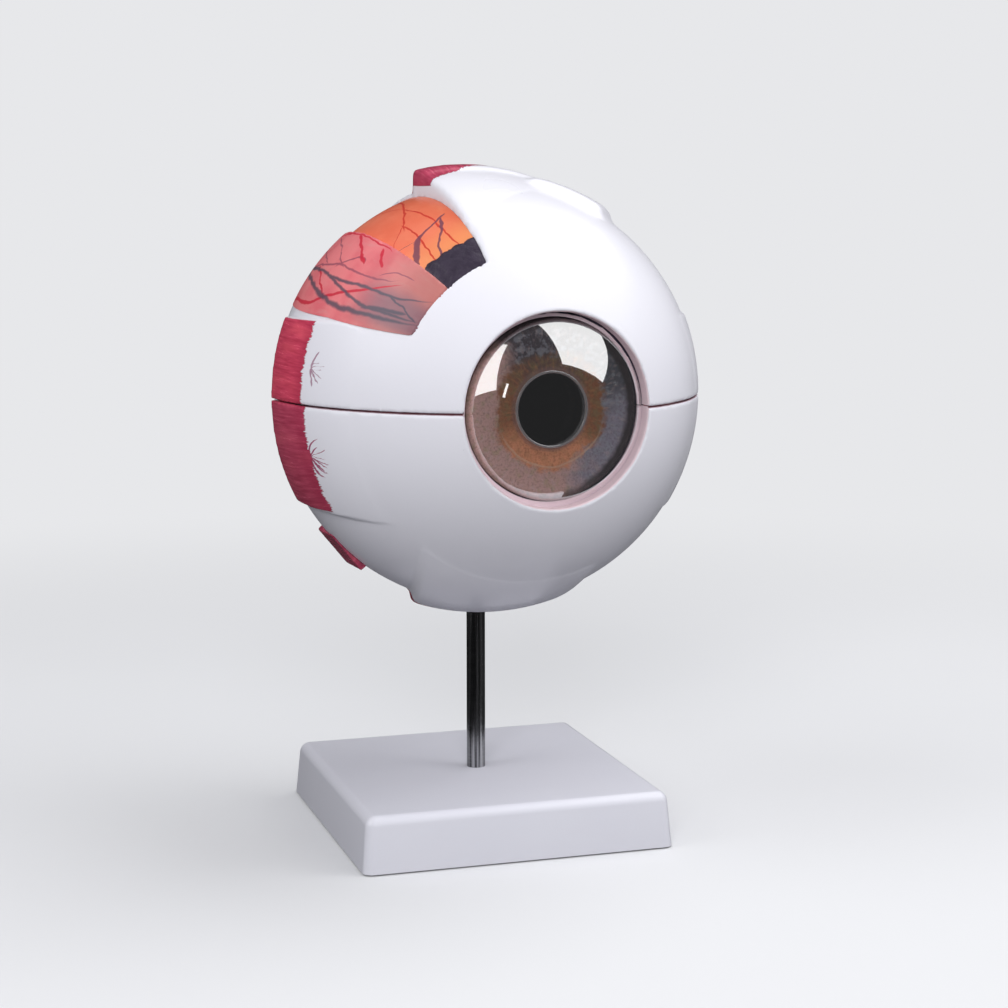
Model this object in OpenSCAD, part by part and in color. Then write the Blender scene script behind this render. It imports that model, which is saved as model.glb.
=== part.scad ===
// Desk model of a right human eye, about six times life size, on a rod and a square base.
// The ball splits along its equator and holds removable optical pieces.
// Millimetres. Z is up, the origin is on the rod's axis at table level, the eye looks along -Y.

/* [Stand] */
// Side of the base where it meets the table
base_side = 100; // [80:1:140]
// Side of the base at its top face
base_top_side = 97; // [76:1:136]
// Height of the base's top face above the table
base_height = 17.8; // [14:0.2:30]
// Wall of the hollow base
base_wall = 2.5; // [1.5:0.1:4]
// Radius of the base's rounded edges and corners
base_round = 3; // [1:0.25:4]
// How far the pad stands out below the base's rim
pad_proud = 0.5; // [0.3:0.1:1.5]
// Thickness of the foam pad
pad_thick = 2; // [1:0.25:3]
// How far the pad is set in from the base's inner walls
pad_gap = 0.6; // [0.5:0.1:1.5]
// Diameter of the boss under the top face
boss_d = 16; // [13:0.5:24]
// Thickness of the ribs between boss and walls
rib_thick = 2; // [1.2:0.1:4]
// Diameter of the steel rod
rod_d = 6; // [4:0.5:8]
// Diameter of the threaded stud at the rod's foot
stud_d = 5; // [3:0.5:5]
// Thickness of the washer under the boss
washer_thick = 1; // [0.6:0.1:1.5]
// Diameter of the washer
washer_d = 10; // [9:0.5:14]
// Width of the nut across its flats
nut_flats = 8; // [7:0.5:10]
// Height of the nut
nut_height = 4; // [2.5:0.5:4]
// Room left between the nut and the pad
nut_room = 1; // [0.5:0.25:2]

/* [Eyeball] */
// Height of the eye's centre above the table
eye_height = 141; // [125:1:190]
// Outer diameter of the white ball
eye_d = 132.5; // [126:0.5:150]
// How far the eye's centre stands in front of the rod's axis
eye_offset = 9.2; // [8:0.2:14]
// How far the eye is turned on its rod
eye_turn = 4; // [-180:1:180]
// Wall of the white outer shell
sclera_wall = 1.8; // [1.4:0.1:2.4]
// Wall of the vessel layer
choroid_wall = 1.7; // [1.2:0.1:2.2]
// Wall of the retina layer
retina_wall = 1.5; // [1:0.1:2]
// Gap between one layer and the next
layer_gap = 0.3; // [0.2:0.05:0.5]
// How far the lower vessel layer stands up into the upper half
spigot_height = 2.5; // [1.5:0.25:4]
// Width of the line left between the two halves
seam_width = 0.5; // [0.3:0.05:1]
// Depth of that line
seam_depth = 0.8; // [0.4:0.1:1.2]

/* [Window] */
// Angle from the optical axis to the window's front edge
window_start = 44.7; // [42:0.1:48]
// Angle from the optical axis to the window's rear edge
window_end = 117; // [108:1:125]
// Height of the window's sill over the seam at its front end
sill_front = 22.4; // [20:0.1:26]
// Height of the sill over the seam where it bends
sill_middle = 26.4; // [24:0.1:29]
// Distance of the sill's bend in front of the eye's centre
sill_bend = 20; // [10:1:30]
// Height of the window's sill over the seam at its rear end
sill_rear = 29.2; // [27:0.1:32]
// Direction of the cut edge of the vessel layer, round the optical axis
choroid_edge = 130.3; // [124:0.5:136]
// How far the vessel layer stands above the ball where it fills the window
choroid_pad_rise = 0.2; // [0:0.05:1]
// How far the retina lies under the ball's surface where it shows in the window
retina_pad_sink = 1.1; // [0.6:0.05:1.4]
// How much higher the dark ciliary band lies in the window than the retina
ciliary_pad_rise = 0.4; // [0.1:0.05:0.5]
// Angle from the optical axis to the retina's front edge
ora_angle = 51.8; // [50:0.1:58]

/* [Muscles] */
// Distance of the flat cut ends behind the eye's centre
muscle_rear = 5.5; // [4:0.25:6]
// Where the red muscle ends on the side straps, in front of the centre
side_red_front = 15; // [12:0.5:30]
// Where the red muscle ends on the top and bottom straps
pole_red_front = 2.5; // [0:0.5:12]
// Top edge of the side straps over the seam
side_strap_top = 25.2; // [18:0.1:26]
// Bottom edge of the side straps under the seam, beside the eye's centre
side_strap_bottom = 32.2; // [20:0.2:34]
// How fast that edge runs down towards the front
side_strap_dip = 0.06; // [0:0.01:0.1]
// Setback of the side straps' outer face behind the ball's centre
side_strap_back = 3.6; // [2:0.1:6]
// Rise of the side straps' outer face over the ball
side_strap_rise = 2.2; // [1.5:0.1:3]
// Left edge of the top strap where it meets the window's front corner
top_strap_left = 17.6; // [14:0.2:20]
// Right edge of the top strap at the same place
top_strap_right = 15.6; // [12:0.2:20]
// How much each side of the top strap widens towards the back
top_strap_flare = 5.5; // [0:0.5:8]
// Shift of the top strap's outer face to the left
top_strap_shift = 6; // [0:0.5:7]
// Setback of the top strap's outer face behind the ball's centre
top_strap_back = 9.4; // [6:0.2:10]
// Rise of the top strap's outer face over the ball
top_strap_rise = 4.25; // [3:0.05:5]
// How far the top strap's red end stands above its white part
top_red_swell = 1.1; // [0.5:0.1:1.5]
// Left edge of the bottom strap at its cut end
bottom_strap_left = 24; // [16:0.5:28]
// Right edge of the bottom strap at its cut end
bottom_strap_right = 19; // [16:0.5:28]
// Left edge of the bottom strap at its tip
bottom_tip_left = 35; // [20:0.5:38]
// Right edge of the bottom strap at its tip
bottom_tip_right = 22; // [18:0.5:38]
// Distance of the bottom strap's tip in front of the centre
bottom_tip = 40; // [30:1:44]
// Setback of the bottom strap's outer face behind the ball's centre
bottom_strap_back = 6.2; // [4:0.2:8]
// Rise of the bottom strap's outer face over the ball
bottom_strap_rise = 4; // [3:0.1:5]
// Thickness of the superior oblique's tendon
top_oblique_thick = 2.9; // [2:0.1:4]
// Width of the superior oblique's tendon
top_oblique_wide = 17; // [12:0.5:22]
// Length of the superior oblique's tendon
top_oblique_long = 23; // [20:0.5:28]
// Middle of that tendon to the right of the eye's centre
top_oblique_x = 24.6; // [23:0.2:28]
// Middle of that tendon in front of the eye's centre
top_oblique_z = 10; // [4:0.5:14]
// How far that tendon is turned forwards on its nose side
top_oblique_turn = 35; // [20:1:45]
// Width of the inferior oblique's stub
low_oblique_wide = 15.5; // [12:0.5:20]
// Front edge of that stub in front of the eye's centre
low_oblique_front = 1.5; // [0:0.5:6]
// Length of that stub
low_oblique_long = 15; // [12:0.5:21]
// Rise of that stub over the ball where it leaves it
low_oblique_rise = 0.5; // [0.3:0.05:1]
// Direction in which it leaves the ball, round the optical axis
low_oblique_at = 219.5; // [214:0.5:222]

/* [Optics] */
// Radius of the front opening
opening_r = 28.9; // [28:0.1:29.5]
// Outer radius of the cornea's curve
cornea_curve_r = 32; // [30:0.5:40]
// Wall of the cornea's dome
cornea_wall = 1.5; // [1:0.1:2]
// Height of the straight skirt under the cornea's dome
skirt_height = 1.4; // [1:0.1:1.6]
// Width of the step that the cornea's skirt stands on
seat_step = 1.7; // [1.2:0.1:2]
// Thickness of the iris disc
iris_thick = 1.4; // [1:0.1:1.8]
// Depth of the iris's seat behind the cornea's seat
iris_depth = 1.8; // [1.7:0.1:3.6]
// Radius of the pupil
pupil_r = 10.6; // [8:0.1:14]
// Width and height of the raised rim round the pupil
pupil_rim = 0.9; // [0.6:0.1:1.5]
// Radius of the hole behind the iris
aperture_r = 25.4; // [24.5:0.1:26]
// Thickness of the ciliary ring behind the iris
ciliary_thick = 5; // [4:0.25:5.5]
// Number of folds round the ciliary ring
fold_count = 36; // [24:2:44]
// Radius of the grooves between the folds
fold_r = 1.1; // [0.6:0.1:1.3]
// Length of the grooves between the folds
fold_long = 14; // [8:1:18]
// Radius of the lens
lens_r = 22.5; // [20:0.5:23]
// Width of the lens's flat rear ledge
lens_ledge = 1.5; // [1:0.1:2.5]
// Thickness of the lens's edge
lens_edge = 1.2; // [0.8:0.1:1.6]
// Radius of the lens's front curve
lens_front_r = 46; // [44:1:60]
// Radius of the lens's rear curve
lens_rear_r = 28; // [26:0.5:40]
// Gap between the lens's front and the iris's rear face
lens_gap = 0.7; // [0.4:0.1:2]
// Wall of the hollow vitreous body
vitreous_wall = 1.6; // [1.2:0.1:2]
// Where the two halves of the vitreous body join, in front of the centre
vitreous_joint = 10; // [6:1:16]

/* [Nerve and socket] */
// Diameter of the optic nerve
nerve_d = 12; // [9:0.5:15]
// Length of the optic nerve outside the ball
nerve_out = 22; // [14:1:40]
// Outer diameter of the sheath round the nerve
sheath_d = 17; // [14:0.5:22]
// Length of the sheath outside the ball
sheath_out = 17; // [8:1:30]
// Direction of the nerve, from straight back towards the nose
nerve_angle = 15; // [8:1:20]
// Diameter of the socket that the rod turns in
socket_d = 12; // [11:0.5:14]
// Depth of the socket's bore below the ball's centre
socket_stop = 50; // [49:0.5:56]
// Thickness of the socket's closed top
socket_cap = 2; // [1.5:0.1:3]

/* [Clearances] */
// Radial gap between the rod and its socket
rod_play = 0.05; // [0.02:0.01:0.1]
// Gap round a piece that lifts out or slides out
loose_fit = 0.3; // [0.25:0.05:0.5]
// Gap round a piece that is glued or screwed in
fixed_fit = 0.1; // [0.05:0.05:0.2]
// Gap between the retina and the vitreous body
vitreous_gap = 0.4; // [0.3:0.05:0.6]
// Gap between the socket's sides and the vitreous body's recess
socket_gap = 1; // [0.5:0.1:2]

/* [Hidden] */
$fn = 96;

eye_r = eye_d / 2;
sclera_in = eye_r - sclera_wall;
choroid_out = sclera_in - layer_gap;
choroid_in = choroid_out - choroid_wall;
retina_out = choroid_in - layer_gap;
retina_in = retina_out - retina_wall;
vitreous_out = retina_in - vitreous_gap;

window_front = eye_r * cos(window_start);
window_rear = eye_r * cos(window_end);
ora_front = retina_out * cos(ora_angle);
bore_r = opening_r - seat_step;
cornea_seat = sqrt(pow(retina_in, 2) - pow(bore_r, 2));
iris_seat = cornea_seat - iris_depth;
ciliary_rear = iris_seat - ciliary_thick;
skirt_r = opening_r - loose_fit;
dome_centre = cornea_seat + skirt_height - sqrt(pow(cornea_curve_r, 2) - pow(skirt_r, 2));
lens_front_centre = iris_seat - lens_gap - lens_front_r;
lens_front_plane = lens_front_centre + sqrt(pow(lens_front_r, 2) - pow(lens_r, 2));
lens_seat = lens_front_plane - lens_edge;
lens_rear_centre = lens_seat + sqrt(pow(lens_rear_r, 2) - pow(lens_r - lens_ledge, 2));

nerve_start = retina_in + fixed_fit;
sheath_start = choroid_out + layer_gap;
socket_top = socket_stop - socket_cap;
rod_top = eye_height - socket_stop;
nut_bottom = pad_thick + nut_room;
washer_bottom = nut_bottom + nut_height;
boss_bottom = washer_bottom + washer_thick;
far = eye_d;

// ---------- Places and cutting blocks ----------

// Eye frame: x to the viewer's right, y up, z forwards along the optical axis
module in_eye() {
    translate([0, 0, eye_height])
        rotate([0, 0, eye_turn])
            translate([0, -eye_offset, 0])
                rotate([90, 0, 0])
                    children();
}

module above(y) {
    translate([-far, y, -far]) cube([2 * far, far, 2 * far]);
}

module below(y) {
    translate([-far, y - far, -far]) cube([2 * far, far, 2 * far]);
}

module ahead(z) {
    translate([-far, -far, z]) cube([2 * far, 2 * far, far]);
}

module behind(z) {
    translate([-far, -far, z - far]) cube([2 * far, 2 * far, far]);
}

module layer(r_out, r_in) {
    difference() {
        sphere(r_out);
        sphere(r_in);
    }
}

// Upright column on the rod's axis, drawn in the eye frame
module rod_column(r, top) {
    translate([0, -top, -eye_offset]) rotate([90, 0, 0]) cylinder(r = r, h = far);
}

module nerve_column(r, from, to) {
    rotate([0, 180 - nerve_angle, 0]) translate([0, 0, from]) cylinder(r = r, h = to - from);
}

module front_opening() {
    translate([0, 0, cornea_seat]) cylinder(r = opening_r, h = far);
}

// The line that shows between the two halves
module seam_line() {
    rotate([90, 0, 0])
        difference() {
            cylinder(r = far, h = seam_width, center = true);
            cylinder(r = eye_r - seam_depth, h = 2 * seam_width, center = true);
        }
}

// Everything on the left of the top strap, moved away from it by inset
module left_of_top_strap(inset) {
    translate([-top_strap_left - inset, 0, window_front])
        rotate([0, top_strap_flare, 0])
            translate([-far, 0, -2 * far]) cube([far, far, 3 * far]);
}

// The block cut out of the upper half, smaller by inset all round
module window_block(inset) {
    intersection() {
        rotate([0, -90, 0])
            linear_extrude(far)
                polygon([
                    [window_front - inset, sill_front + inset],
                    [window_front - inset, far],
                    [window_rear + inset, far],
                    [window_rear + inset, sill_rear + inset],
                    [sill_bend, sill_middle + inset]
                ]);
        left_of_top_strap(inset);
    }
}

// Half space below the cut edge of the vessel layer
module below_choroid_edge() {
    rotate([0, 0, choroid_edge]) translate([-far, 0, -far]) cube([2 * far, far, 2 * far]);
}

// Half space above that edge, moved away from it by gap
module above_choroid_edge(gap) {
    rotate([0, 0, choroid_edge]) translate([-far, -far - gap, -far]) cube([2 * far, far, 2 * far]);
}

// ---------- Muscle straps ----------

function side_strap_low(z) = -side_strap_bottom - side_strap_dip * z;

// Outline of a side strap, from z_rear to z_front, on the left side of the ball
module side_strap(z_rear, z_front) {
    intersection() {
        translate([0, 0, -side_strap_back]) sphere(eye_r + side_strap_rise);
        rotate([0, -90, 0])
            linear_extrude(far)
                polygon([
                    [z_rear, side_strap_low(z_rear)],
                    [z_rear, side_strap_top],
                    [z_front, side_strap_top],
                    [z_front, side_strap_low(z_front)]
                ]);
    }
}

module top_strap(z_rear, z_front, swell = 0) {
    intersection() {
        translate([-top_strap_shift, 0, -top_strap_back]) sphere(eye_r + top_strap_rise + swell);
        translate([-far, 0, z_rear]) cube([2 * far, far, z_front - z_rear]);
        translate([-top_strap_left, 0, window_front])
            rotate([0, top_strap_flare, 0])
                translate([0, 0, -2 * far]) cube([far, far, 3 * far]);
        translate([top_strap_right, 0, window_front])
            rotate([0, -top_strap_flare, 0])
                translate([-far, 0, -2 * far]) cube([far, far, 3 * far]);
    }
}

module bottom_strap(z_rear, z_front) {
    intersection() {
        translate([0, 0, -bottom_strap_back]) sphere(eye_r + bottom_strap_rise);
        translate([-far, -far, z_rear]) cube([2 * far, far, z_front - z_rear]);
        rotate([90, 0, 0])
            linear_extrude(far)
                polygon([
                    [-bottom_strap_left, -muscle_rear],
                    [-bottom_tip_left, bottom_tip],
                    [bottom_tip_right, bottom_tip],
                    [bottom_strap_right, -muscle_rear]
                ]);
    }
}

module superior_oblique_band() {
    intersection() {
        sphere(eye_r + top_oblique_thick);
        translate([top_oblique_x, 0, top_oblique_z])
            rotate([0, -top_oblique_turn, 0])
                translate([-top_oblique_long / 2, 0, -top_oblique_wide / 2])
                    cube([top_oblique_long, far, top_oblique_wide]);
    }
}

// ---------- White outer shell ----------

module sclera_body() {
    difference() {
        union() {
            sphere(eye_r);
            side_strap(side_red_front, far);
            mirror([1, 0, 0]) side_strap(side_red_front, far);
            top_strap(pole_red_front, far);
            bottom_strap(pole_red_front, far);
        }
        sphere(sclera_in);
        front_opening();
        seam_line();
    }
}

module sclera_lower() {
    color("white")
        in_eye()
            difference() {
                sclera_body();
                above(0);
                rod_column(socket_d / 2 + fixed_fit, 0);
                nerve_column(sheath_d / 2 + fixed_fit, 0, far);
            }
}

module sclera_upper() {
    color("whitesmoke")
        in_eye()
            difference() {
                sclera_body();
                below(0);
                window_block(0);
                nerve_column(sheath_d / 2 + loose_fit, 0, far);
            }
}

// ---------- Vessel layer ----------

module choroid_lower() {
    color("indianred")
        in_eye()
            difference() {
                layer(choroid_out, choroid_in);
                above(spigot_height);
                front_opening();
                rod_column(socket_d / 2 + fixed_fit, 0);
                nerve_column(nerve_d / 2 + fixed_fit, 0, far);
            }
}

// Solid that fills the window's lower part flush with the ball
module choroid_pad() {
    intersection() {
        layer(eye_r + choroid_pad_rise, choroid_in);
        window_block(layer_gap);
        below_choroid_edge();
    }
}

module choroid_upper() {
    color("lightcoral")
        in_eye()
            difference() {
                union() {
                    layer(choroid_out, choroid_in);
                    choroid_pad();
                }
                below(spigot_height + loose_fit);
                front_opening();
                nerve_column(nerve_d / 2 + loose_fit, 0, far);
                intersection() {
                    window_block(0);
                    above_choroid_edge(layer_gap);
                }
            }
}

// ---------- Retina and ciliary ring ----------

module retina_layer() {
    difference() {
        layer(retina_out, retina_in);
        ahead(ora_front - layer_gap);
    }
}

// Raised part of the innermost layer that shows in the window, out to radius r
module window_step(r) {
    intersection() {
        layer(r, retina_in);
        window_block(layer_gap);
        above_choroid_edge(2 * layer_gap);
    }
}

module retina_lower() {
    color("darkorange")
        in_eye()
            difference() {
                retina_layer();
                above(0);
                rod_column(socket_d / 2 + fixed_fit, 0);
                nerve_column(nerve_d / 2 + fixed_fit, 0, far);
            }
}

module retina_upper() {
    color("orange")
        in_eye()
            difference() {
                union() {
                    retina_layer();
                    difference() {
                        window_step(eye_r - retina_pad_sink);
                        ahead(ora_front - layer_gap);
                    }
                }
                below(0);
                nerve_column(nerve_d / 2 + loose_fit, 0, far);
            }
}

// Ring behind the iris, with radial folds on its rear face
module ciliary_ring() {
    difference() {
        union() {
            intersection() {
                layer(retina_out, retina_in);
                ahead(ora_front);
            }
            intersection() {
                sphere(retina_out);
                ahead(ciliary_rear);
            }
            intersection() {
                window_step(eye_r - retina_pad_sink + ciliary_pad_rise);
                ahead(ora_front);
            }
        }
        front_opening();
        translate([0, 0, iris_seat]) cylinder(r = bore_r, h = far);
        cylinder(r = aperture_r, h = far);
        for (i = [0 : fold_count - 1])
            rotate([0, 0, (i + 0.5) * 360 / fold_count])
                translate([aperture_r - fold_r, 0, ciliary_rear])
                    rotate([0, 90, 0])
                        cylinder(r = fold_r, h = fold_long);
    }
}

module ciliary_body_lower() {
    color("darkslateblue")
        in_eye()
            difference() {
                ciliary_ring();
                above(0);
            }
}

module ciliary_body_upper() {
    color("midnightblue")
        in_eye()
            difference() {
                ciliary_ring();
                below(0);
            }
}

// ---------- Pieces inside the ball ----------

// Clear hollow body that fills the ball, dished in front and keyed on the socket
module vitreous_solid(inset) {
    difference() {
        sphere(vitreous_out - inset);
        ahead(lens_seat - inset);
        translate([0, 0, lens_rear_centre]) sphere(lens_rear_r + vitreous_gap + inset);
        rod_column(socket_d / 2 + socket_gap + inset, socket_top - loose_fit - inset);
    }
}

module vitreous_shell() {
    difference() {
        vitreous_solid(0);
        vitreous_solid(vitreous_wall);
    }
}

module vitreous_front() {
    color("lightcyan")
        in_eye()
            difference() {
                vitreous_shell();
                behind(vitreous_joint);
            }
}

module vitreous_rear() {
    color("paleturquoise")
        in_eye()
            difference() {
                vitreous_shell();
                ahead(vitreous_joint);
            }
}

module lens() {
    color("aliceblue")
        in_eye()
            union() {
                intersection() {
                    translate([0, 0, lens_front_centre]) sphere(lens_front_r);
                    translate([0, 0, lens_seat]) cylinder(r = lens_r, h = far);
                }
                difference() {
                    translate([0, 0, lens_rear_centre]) sphere(lens_rear_r);
                    ahead(lens_seat);
                }
            }
}

module iris() {
    color("saddlebrown")
        in_eye()
            translate([0, 0, iris_seat])
                difference() {
                    union() {
                        cylinder(r = bore_r - loose_fit, h = iris_thick);
                        cylinder(r = pupil_r + pupil_rim, h = iris_thick + pupil_rim);
                    }
                    translate([0, 0, -1]) cylinder(r = pupil_r, h = far);
                }
}

module cornea() {
    color("azure", 0.4)
        in_eye()
            difference() {
                intersection() {
                    translate([0, 0, cornea_seat]) cylinder(r = skirt_r, h = far);
                    translate([0, 0, dome_centre]) sphere(cornea_curve_r);
                }
                translate([0, 0, dome_centre]) sphere(cornea_curve_r - cornea_wall);
            }
}

// ---------- Muscle stubs ----------

module side_muscle() {
    difference() {
        side_strap(-muscle_rear, side_red_front);
        sphere(eye_r);
        seam_line();
    }
}

module lateral_rectus_lower() {
    color("firebrick")
        in_eye()
            difference() {
                side_muscle();
                above(0);
            }
}

module lateral_rectus_upper() {
    color("crimson")
        in_eye()
            difference() {
                side_muscle();
                below(0);
                window_block(0);
            }
}

module medial_rectus_lower() {
    color("firebrick")
        in_eye()
            difference() {
                mirror([1, 0, 0]) side_muscle();
                above(0);
            }
}

module medial_rectus_upper() {
    color("crimson")
        in_eye()
            difference() {
                mirror([1, 0, 0]) side_muscle();
                below(0);
            }
}

module superior_rectus() {
    color("crimson")
        in_eye()
            difference() {
                top_strap(-muscle_rear, pole_red_front, top_red_swell);
                sphere(eye_r);
            }
}

module inferior_rectus() {
    color("firebrick")
        in_eye()
            difference() {
                bottom_strap(-muscle_rear, pole_red_front);
                sphere(eye_r);
                rod_column(rod_d / 2 + loose_fit, 0);
            }
}

// White tendon that runs from the nose side under the top strap
module superior_oblique() {
    color("ivory")
        in_eye()
            difference() {
                superior_oblique_band();
                sphere(eye_r);
                top_strap(-far, far);
                top_strap(-far, pole_red_front, top_red_swell);
            }
}

// Straight stub that thins out to nothing on the ball, so the ball is drawn finely here
module inferior_oblique() {
    color("brown")
        in_eye()
            difference() {
                rotate([0, 0, low_oblique_at])
                    translate([0, 0, low_oblique_front - low_oblique_wide])
                        cube([eye_r + low_oblique_rise, low_oblique_long, low_oblique_wide]);
                sphere(eye_r, $fn = 360);
            }
}

// ---------- Nerve and socket ----------

module optic_nerve() {
    color("khaki")
        in_eye()
            nerve_column(nerve_d / 2, nerve_start, eye_r + nerve_out);
}

module nerve_sheath() {
    color("linen")
        in_eye()
            difference() {
                nerve_column(sheath_d / 2, sheath_start, eye_r + sheath_out);
                nerve_column(nerve_d / 2 + fixed_fit, 0, 2 * far);
            }
}

module rod_socket() {
    color("gainsboro")
        in_eye()
            difference() {
                intersection() {
                    rod_column(socket_d / 2, socket_top);
                    sphere(eye_r);
                }
                rod_column(rod_d / 2 + rod_play, socket_stop);
            }
}

// ---------- Stand ----------

// Rounded block with sloping sides, smaller by inset on its sides
module base_block(inset, bottom, top) {
    foot = base_side / 2 - base_round - inset;
    head = base_top_side / 2 - base_round - inset;
    hull() {
        for (x = [-1, 1])
            for (y = [-1, 1]) {
                translate([x * foot, y * foot, bottom]) cylinder(r = base_round, h = base_wall / 9, $fn = 32);
                translate([x * head, y * head, top - base_round]) sphere(base_round, $fn = 32);
            }
    }
}

// Ribs from wall to wall across the boss, ending inside the walls
module base_ribs() {
    reach = base_top_side - base_wall;
    for (turn = [0, 90])
        rotate([0, 0, turn])
            translate([-reach / 2, -rib_thick / 2, pad_thick])
                cube([reach, rib_thick, base_height - base_wall / 2 - pad_thick]);
}

module base_shell() {
    color("gainsboro")
        difference() {
            union() {
                difference() {
                    base_block(0, pad_proud, base_height);
                    base_block(base_wall, -pad_proud, base_height - base_wall);
                }
                difference() {
                    base_ribs();
                    cylinder(d = boss_d, h = boss_bottom);
                }
                translate([0, 0, boss_bottom])
                    cylinder(d = boss_d, h = base_height - base_wall / 2 - boss_bottom);
            }
            cylinder(d = stud_d + 2 * fixed_fit, h = far);
        }
}

module base_pad() {
    corner = base_side / 2 - base_wall - base_round - pad_gap;
    color("dimgray")
        linear_extrude(pad_thick)
            union() {
                square([2 * (corner + base_round), 2 * corner], center = true);
                square([2 * corner, 2 * (corner + base_round)], center = true);
                for (x = [-1, 1])
                    for (y = [-1, 1])
                        translate([x * corner, y * corner]) circle(base_round);
            }
}

module support_rod() {
    color("silver")
        union() {
            translate([0, 0, base_height]) cylinder(d = rod_d, h = rod_top - base_height);
            translate([0, 0, nut_bottom]) cylinder(d = stud_d, h = base_height - nut_bottom);
        }
}

module rod_washer() {
    color("lightsteelblue")
        translate([0, 0, washer_bottom])
            difference() {
                cylinder(d = washer_d, h = washer_thick);
                translate([0, 0, -1]) cylinder(d = stud_d + 2 * fixed_fit, h = washer_thick + 2);
            }
}

module rod_nut() {
    color("slategray")
        translate([0, 0, nut_bottom])
            difference() {
                cylinder(d = nut_flats / cos(30), h = nut_height, $fn = 6);
                translate([0, 0, -1]) cylinder(d = stud_d + fixed_fit, h = nut_height + 2);
            }
}

base_shell();
base_pad();
support_rod();
rod_washer();
rod_nut();
rod_socket();
sclera_lower();
sclera_upper();
choroid_lower();
choroid_upper();
retina_lower();
retina_upper();
ciliary_body_lower();
ciliary_body_upper();
vitreous_front();
vitreous_rear();
lens();
iris();
cornea();
lateral_rectus_lower();
lateral_rectus_upper();
medial_rectus_lower();
medial_rectus_upper();
superior_rectus();
inferior_rectus();
superior_oblique();
inferior_oblique();
optic_nerve();
nerve_sheath();
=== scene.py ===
from math import atan2, cos, pi, radians, sin, sqrt

import bmesh
import bpy
from mathutils import Matrix, Vector


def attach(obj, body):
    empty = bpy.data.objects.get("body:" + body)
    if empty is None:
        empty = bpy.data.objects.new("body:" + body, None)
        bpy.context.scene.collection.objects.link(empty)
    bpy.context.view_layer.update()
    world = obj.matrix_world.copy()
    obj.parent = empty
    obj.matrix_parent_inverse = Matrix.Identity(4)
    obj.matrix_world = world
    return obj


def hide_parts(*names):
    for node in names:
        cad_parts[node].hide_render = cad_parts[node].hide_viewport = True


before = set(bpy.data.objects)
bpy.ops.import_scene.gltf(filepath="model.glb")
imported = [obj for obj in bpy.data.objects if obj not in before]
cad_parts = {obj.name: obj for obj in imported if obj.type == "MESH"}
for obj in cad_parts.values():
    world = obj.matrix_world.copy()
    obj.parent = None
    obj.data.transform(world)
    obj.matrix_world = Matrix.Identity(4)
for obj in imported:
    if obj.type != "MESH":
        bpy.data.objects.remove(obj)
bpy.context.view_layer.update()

# ---------------------------------------------------------------- Studio
# A pale sheet that fades into a pale backdrop, two soft boxes and a faint
# even fill, and the camera at the photograph's angle. The boxes stand
# where their reflections in the cornea put them.

MM = 0.001
EYE_TURN, EYE_AHEAD, EYE_HEIGHT = radians(4), 9.2, 141
EYE_CENTRE = Vector((EYE_AHEAD * sin(EYE_TURN), -EYE_AHEAD * cos(EYE_TURN), EYE_HEIGHT)) * MM


def add_part(name, add, **placing):
    """Adds a primitive with nothing else selected, and names it."""
    bpy.ops.object.select_all(action="DESELECT")
    add(**placing)
    part = bpy.context.active_object
    part.name = part.data.name = name
    return part


def choose(part, kind, test):
    """In edit mode, selects the part's faces or edges or vertices whose middle passes the test."""
    bpy.context.tool_settings.mesh_select_mode = (kind == "verts", kind == "edges", kind == "faces")
    mesh = bmesh.from_edit_mesh(part.data)
    for group in (mesh.verts, mesh.edges, mesh.faces):
        for item in group:
            item.select = False
    for item in getattr(mesh, kind):
        if kind == "verts":
            middle = item.co
        elif kind == "edges":
            middle = (item.verts[0].co + item.verts[1].co) / 2
        else:
            middle = item.calc_center_median()
        if test(middle, item):
            item.select_set(True)
    mesh.select_flush_mode()
    bmesh.update_edit_mesh(part.data)


class Reading:
    """A socket that can stand in a sum, which adds its Math nodes."""

    def __init__(self, finish, socket):
        self.finish, self.socket = finish, socket

    def sum(self, operation, *terms):
        return self.finish.node("ShaderNodeMath", {"operation": operation}, dict(enumerate(terms)))

    def __add__(self, other):
        return self.sum("ADD", self, other)

    def __sub__(self, other):
        return self.sum("SUBTRACT", self, other)

    def __rsub__(self, other):
        return self.sum("SUBTRACT", other, self)

    def __mul__(self, other):
        return self.sum("MULTIPLY", self, other)

    def __truediv__(self, other):
        return self.sum("DIVIDE", self, other)

    def __pow__(self, other):
        return self.sum("POWER", self, other)

    def __abs__(self):
        return self.sum("ABSOLUTE", self)

    __radd__, __rmul__ = __add__, __mul__

    def least(self, other):
        return self.sum("MINIMUM", self, other)

    def angle(self, other):
        """The angle whose rise is this reading and whose run is the other."""
        return self.sum("ARCTAN2", self, other)

    def rise(self, low, high):
        """0 below low, 1 above high, and smooth between them."""
        return self.finish.node("ShaderNodeMapRange", {"interpolation_type": "SMOOTHSTEP"},
                                {"Value": self, "From Min": low, "From Max": high})


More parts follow.
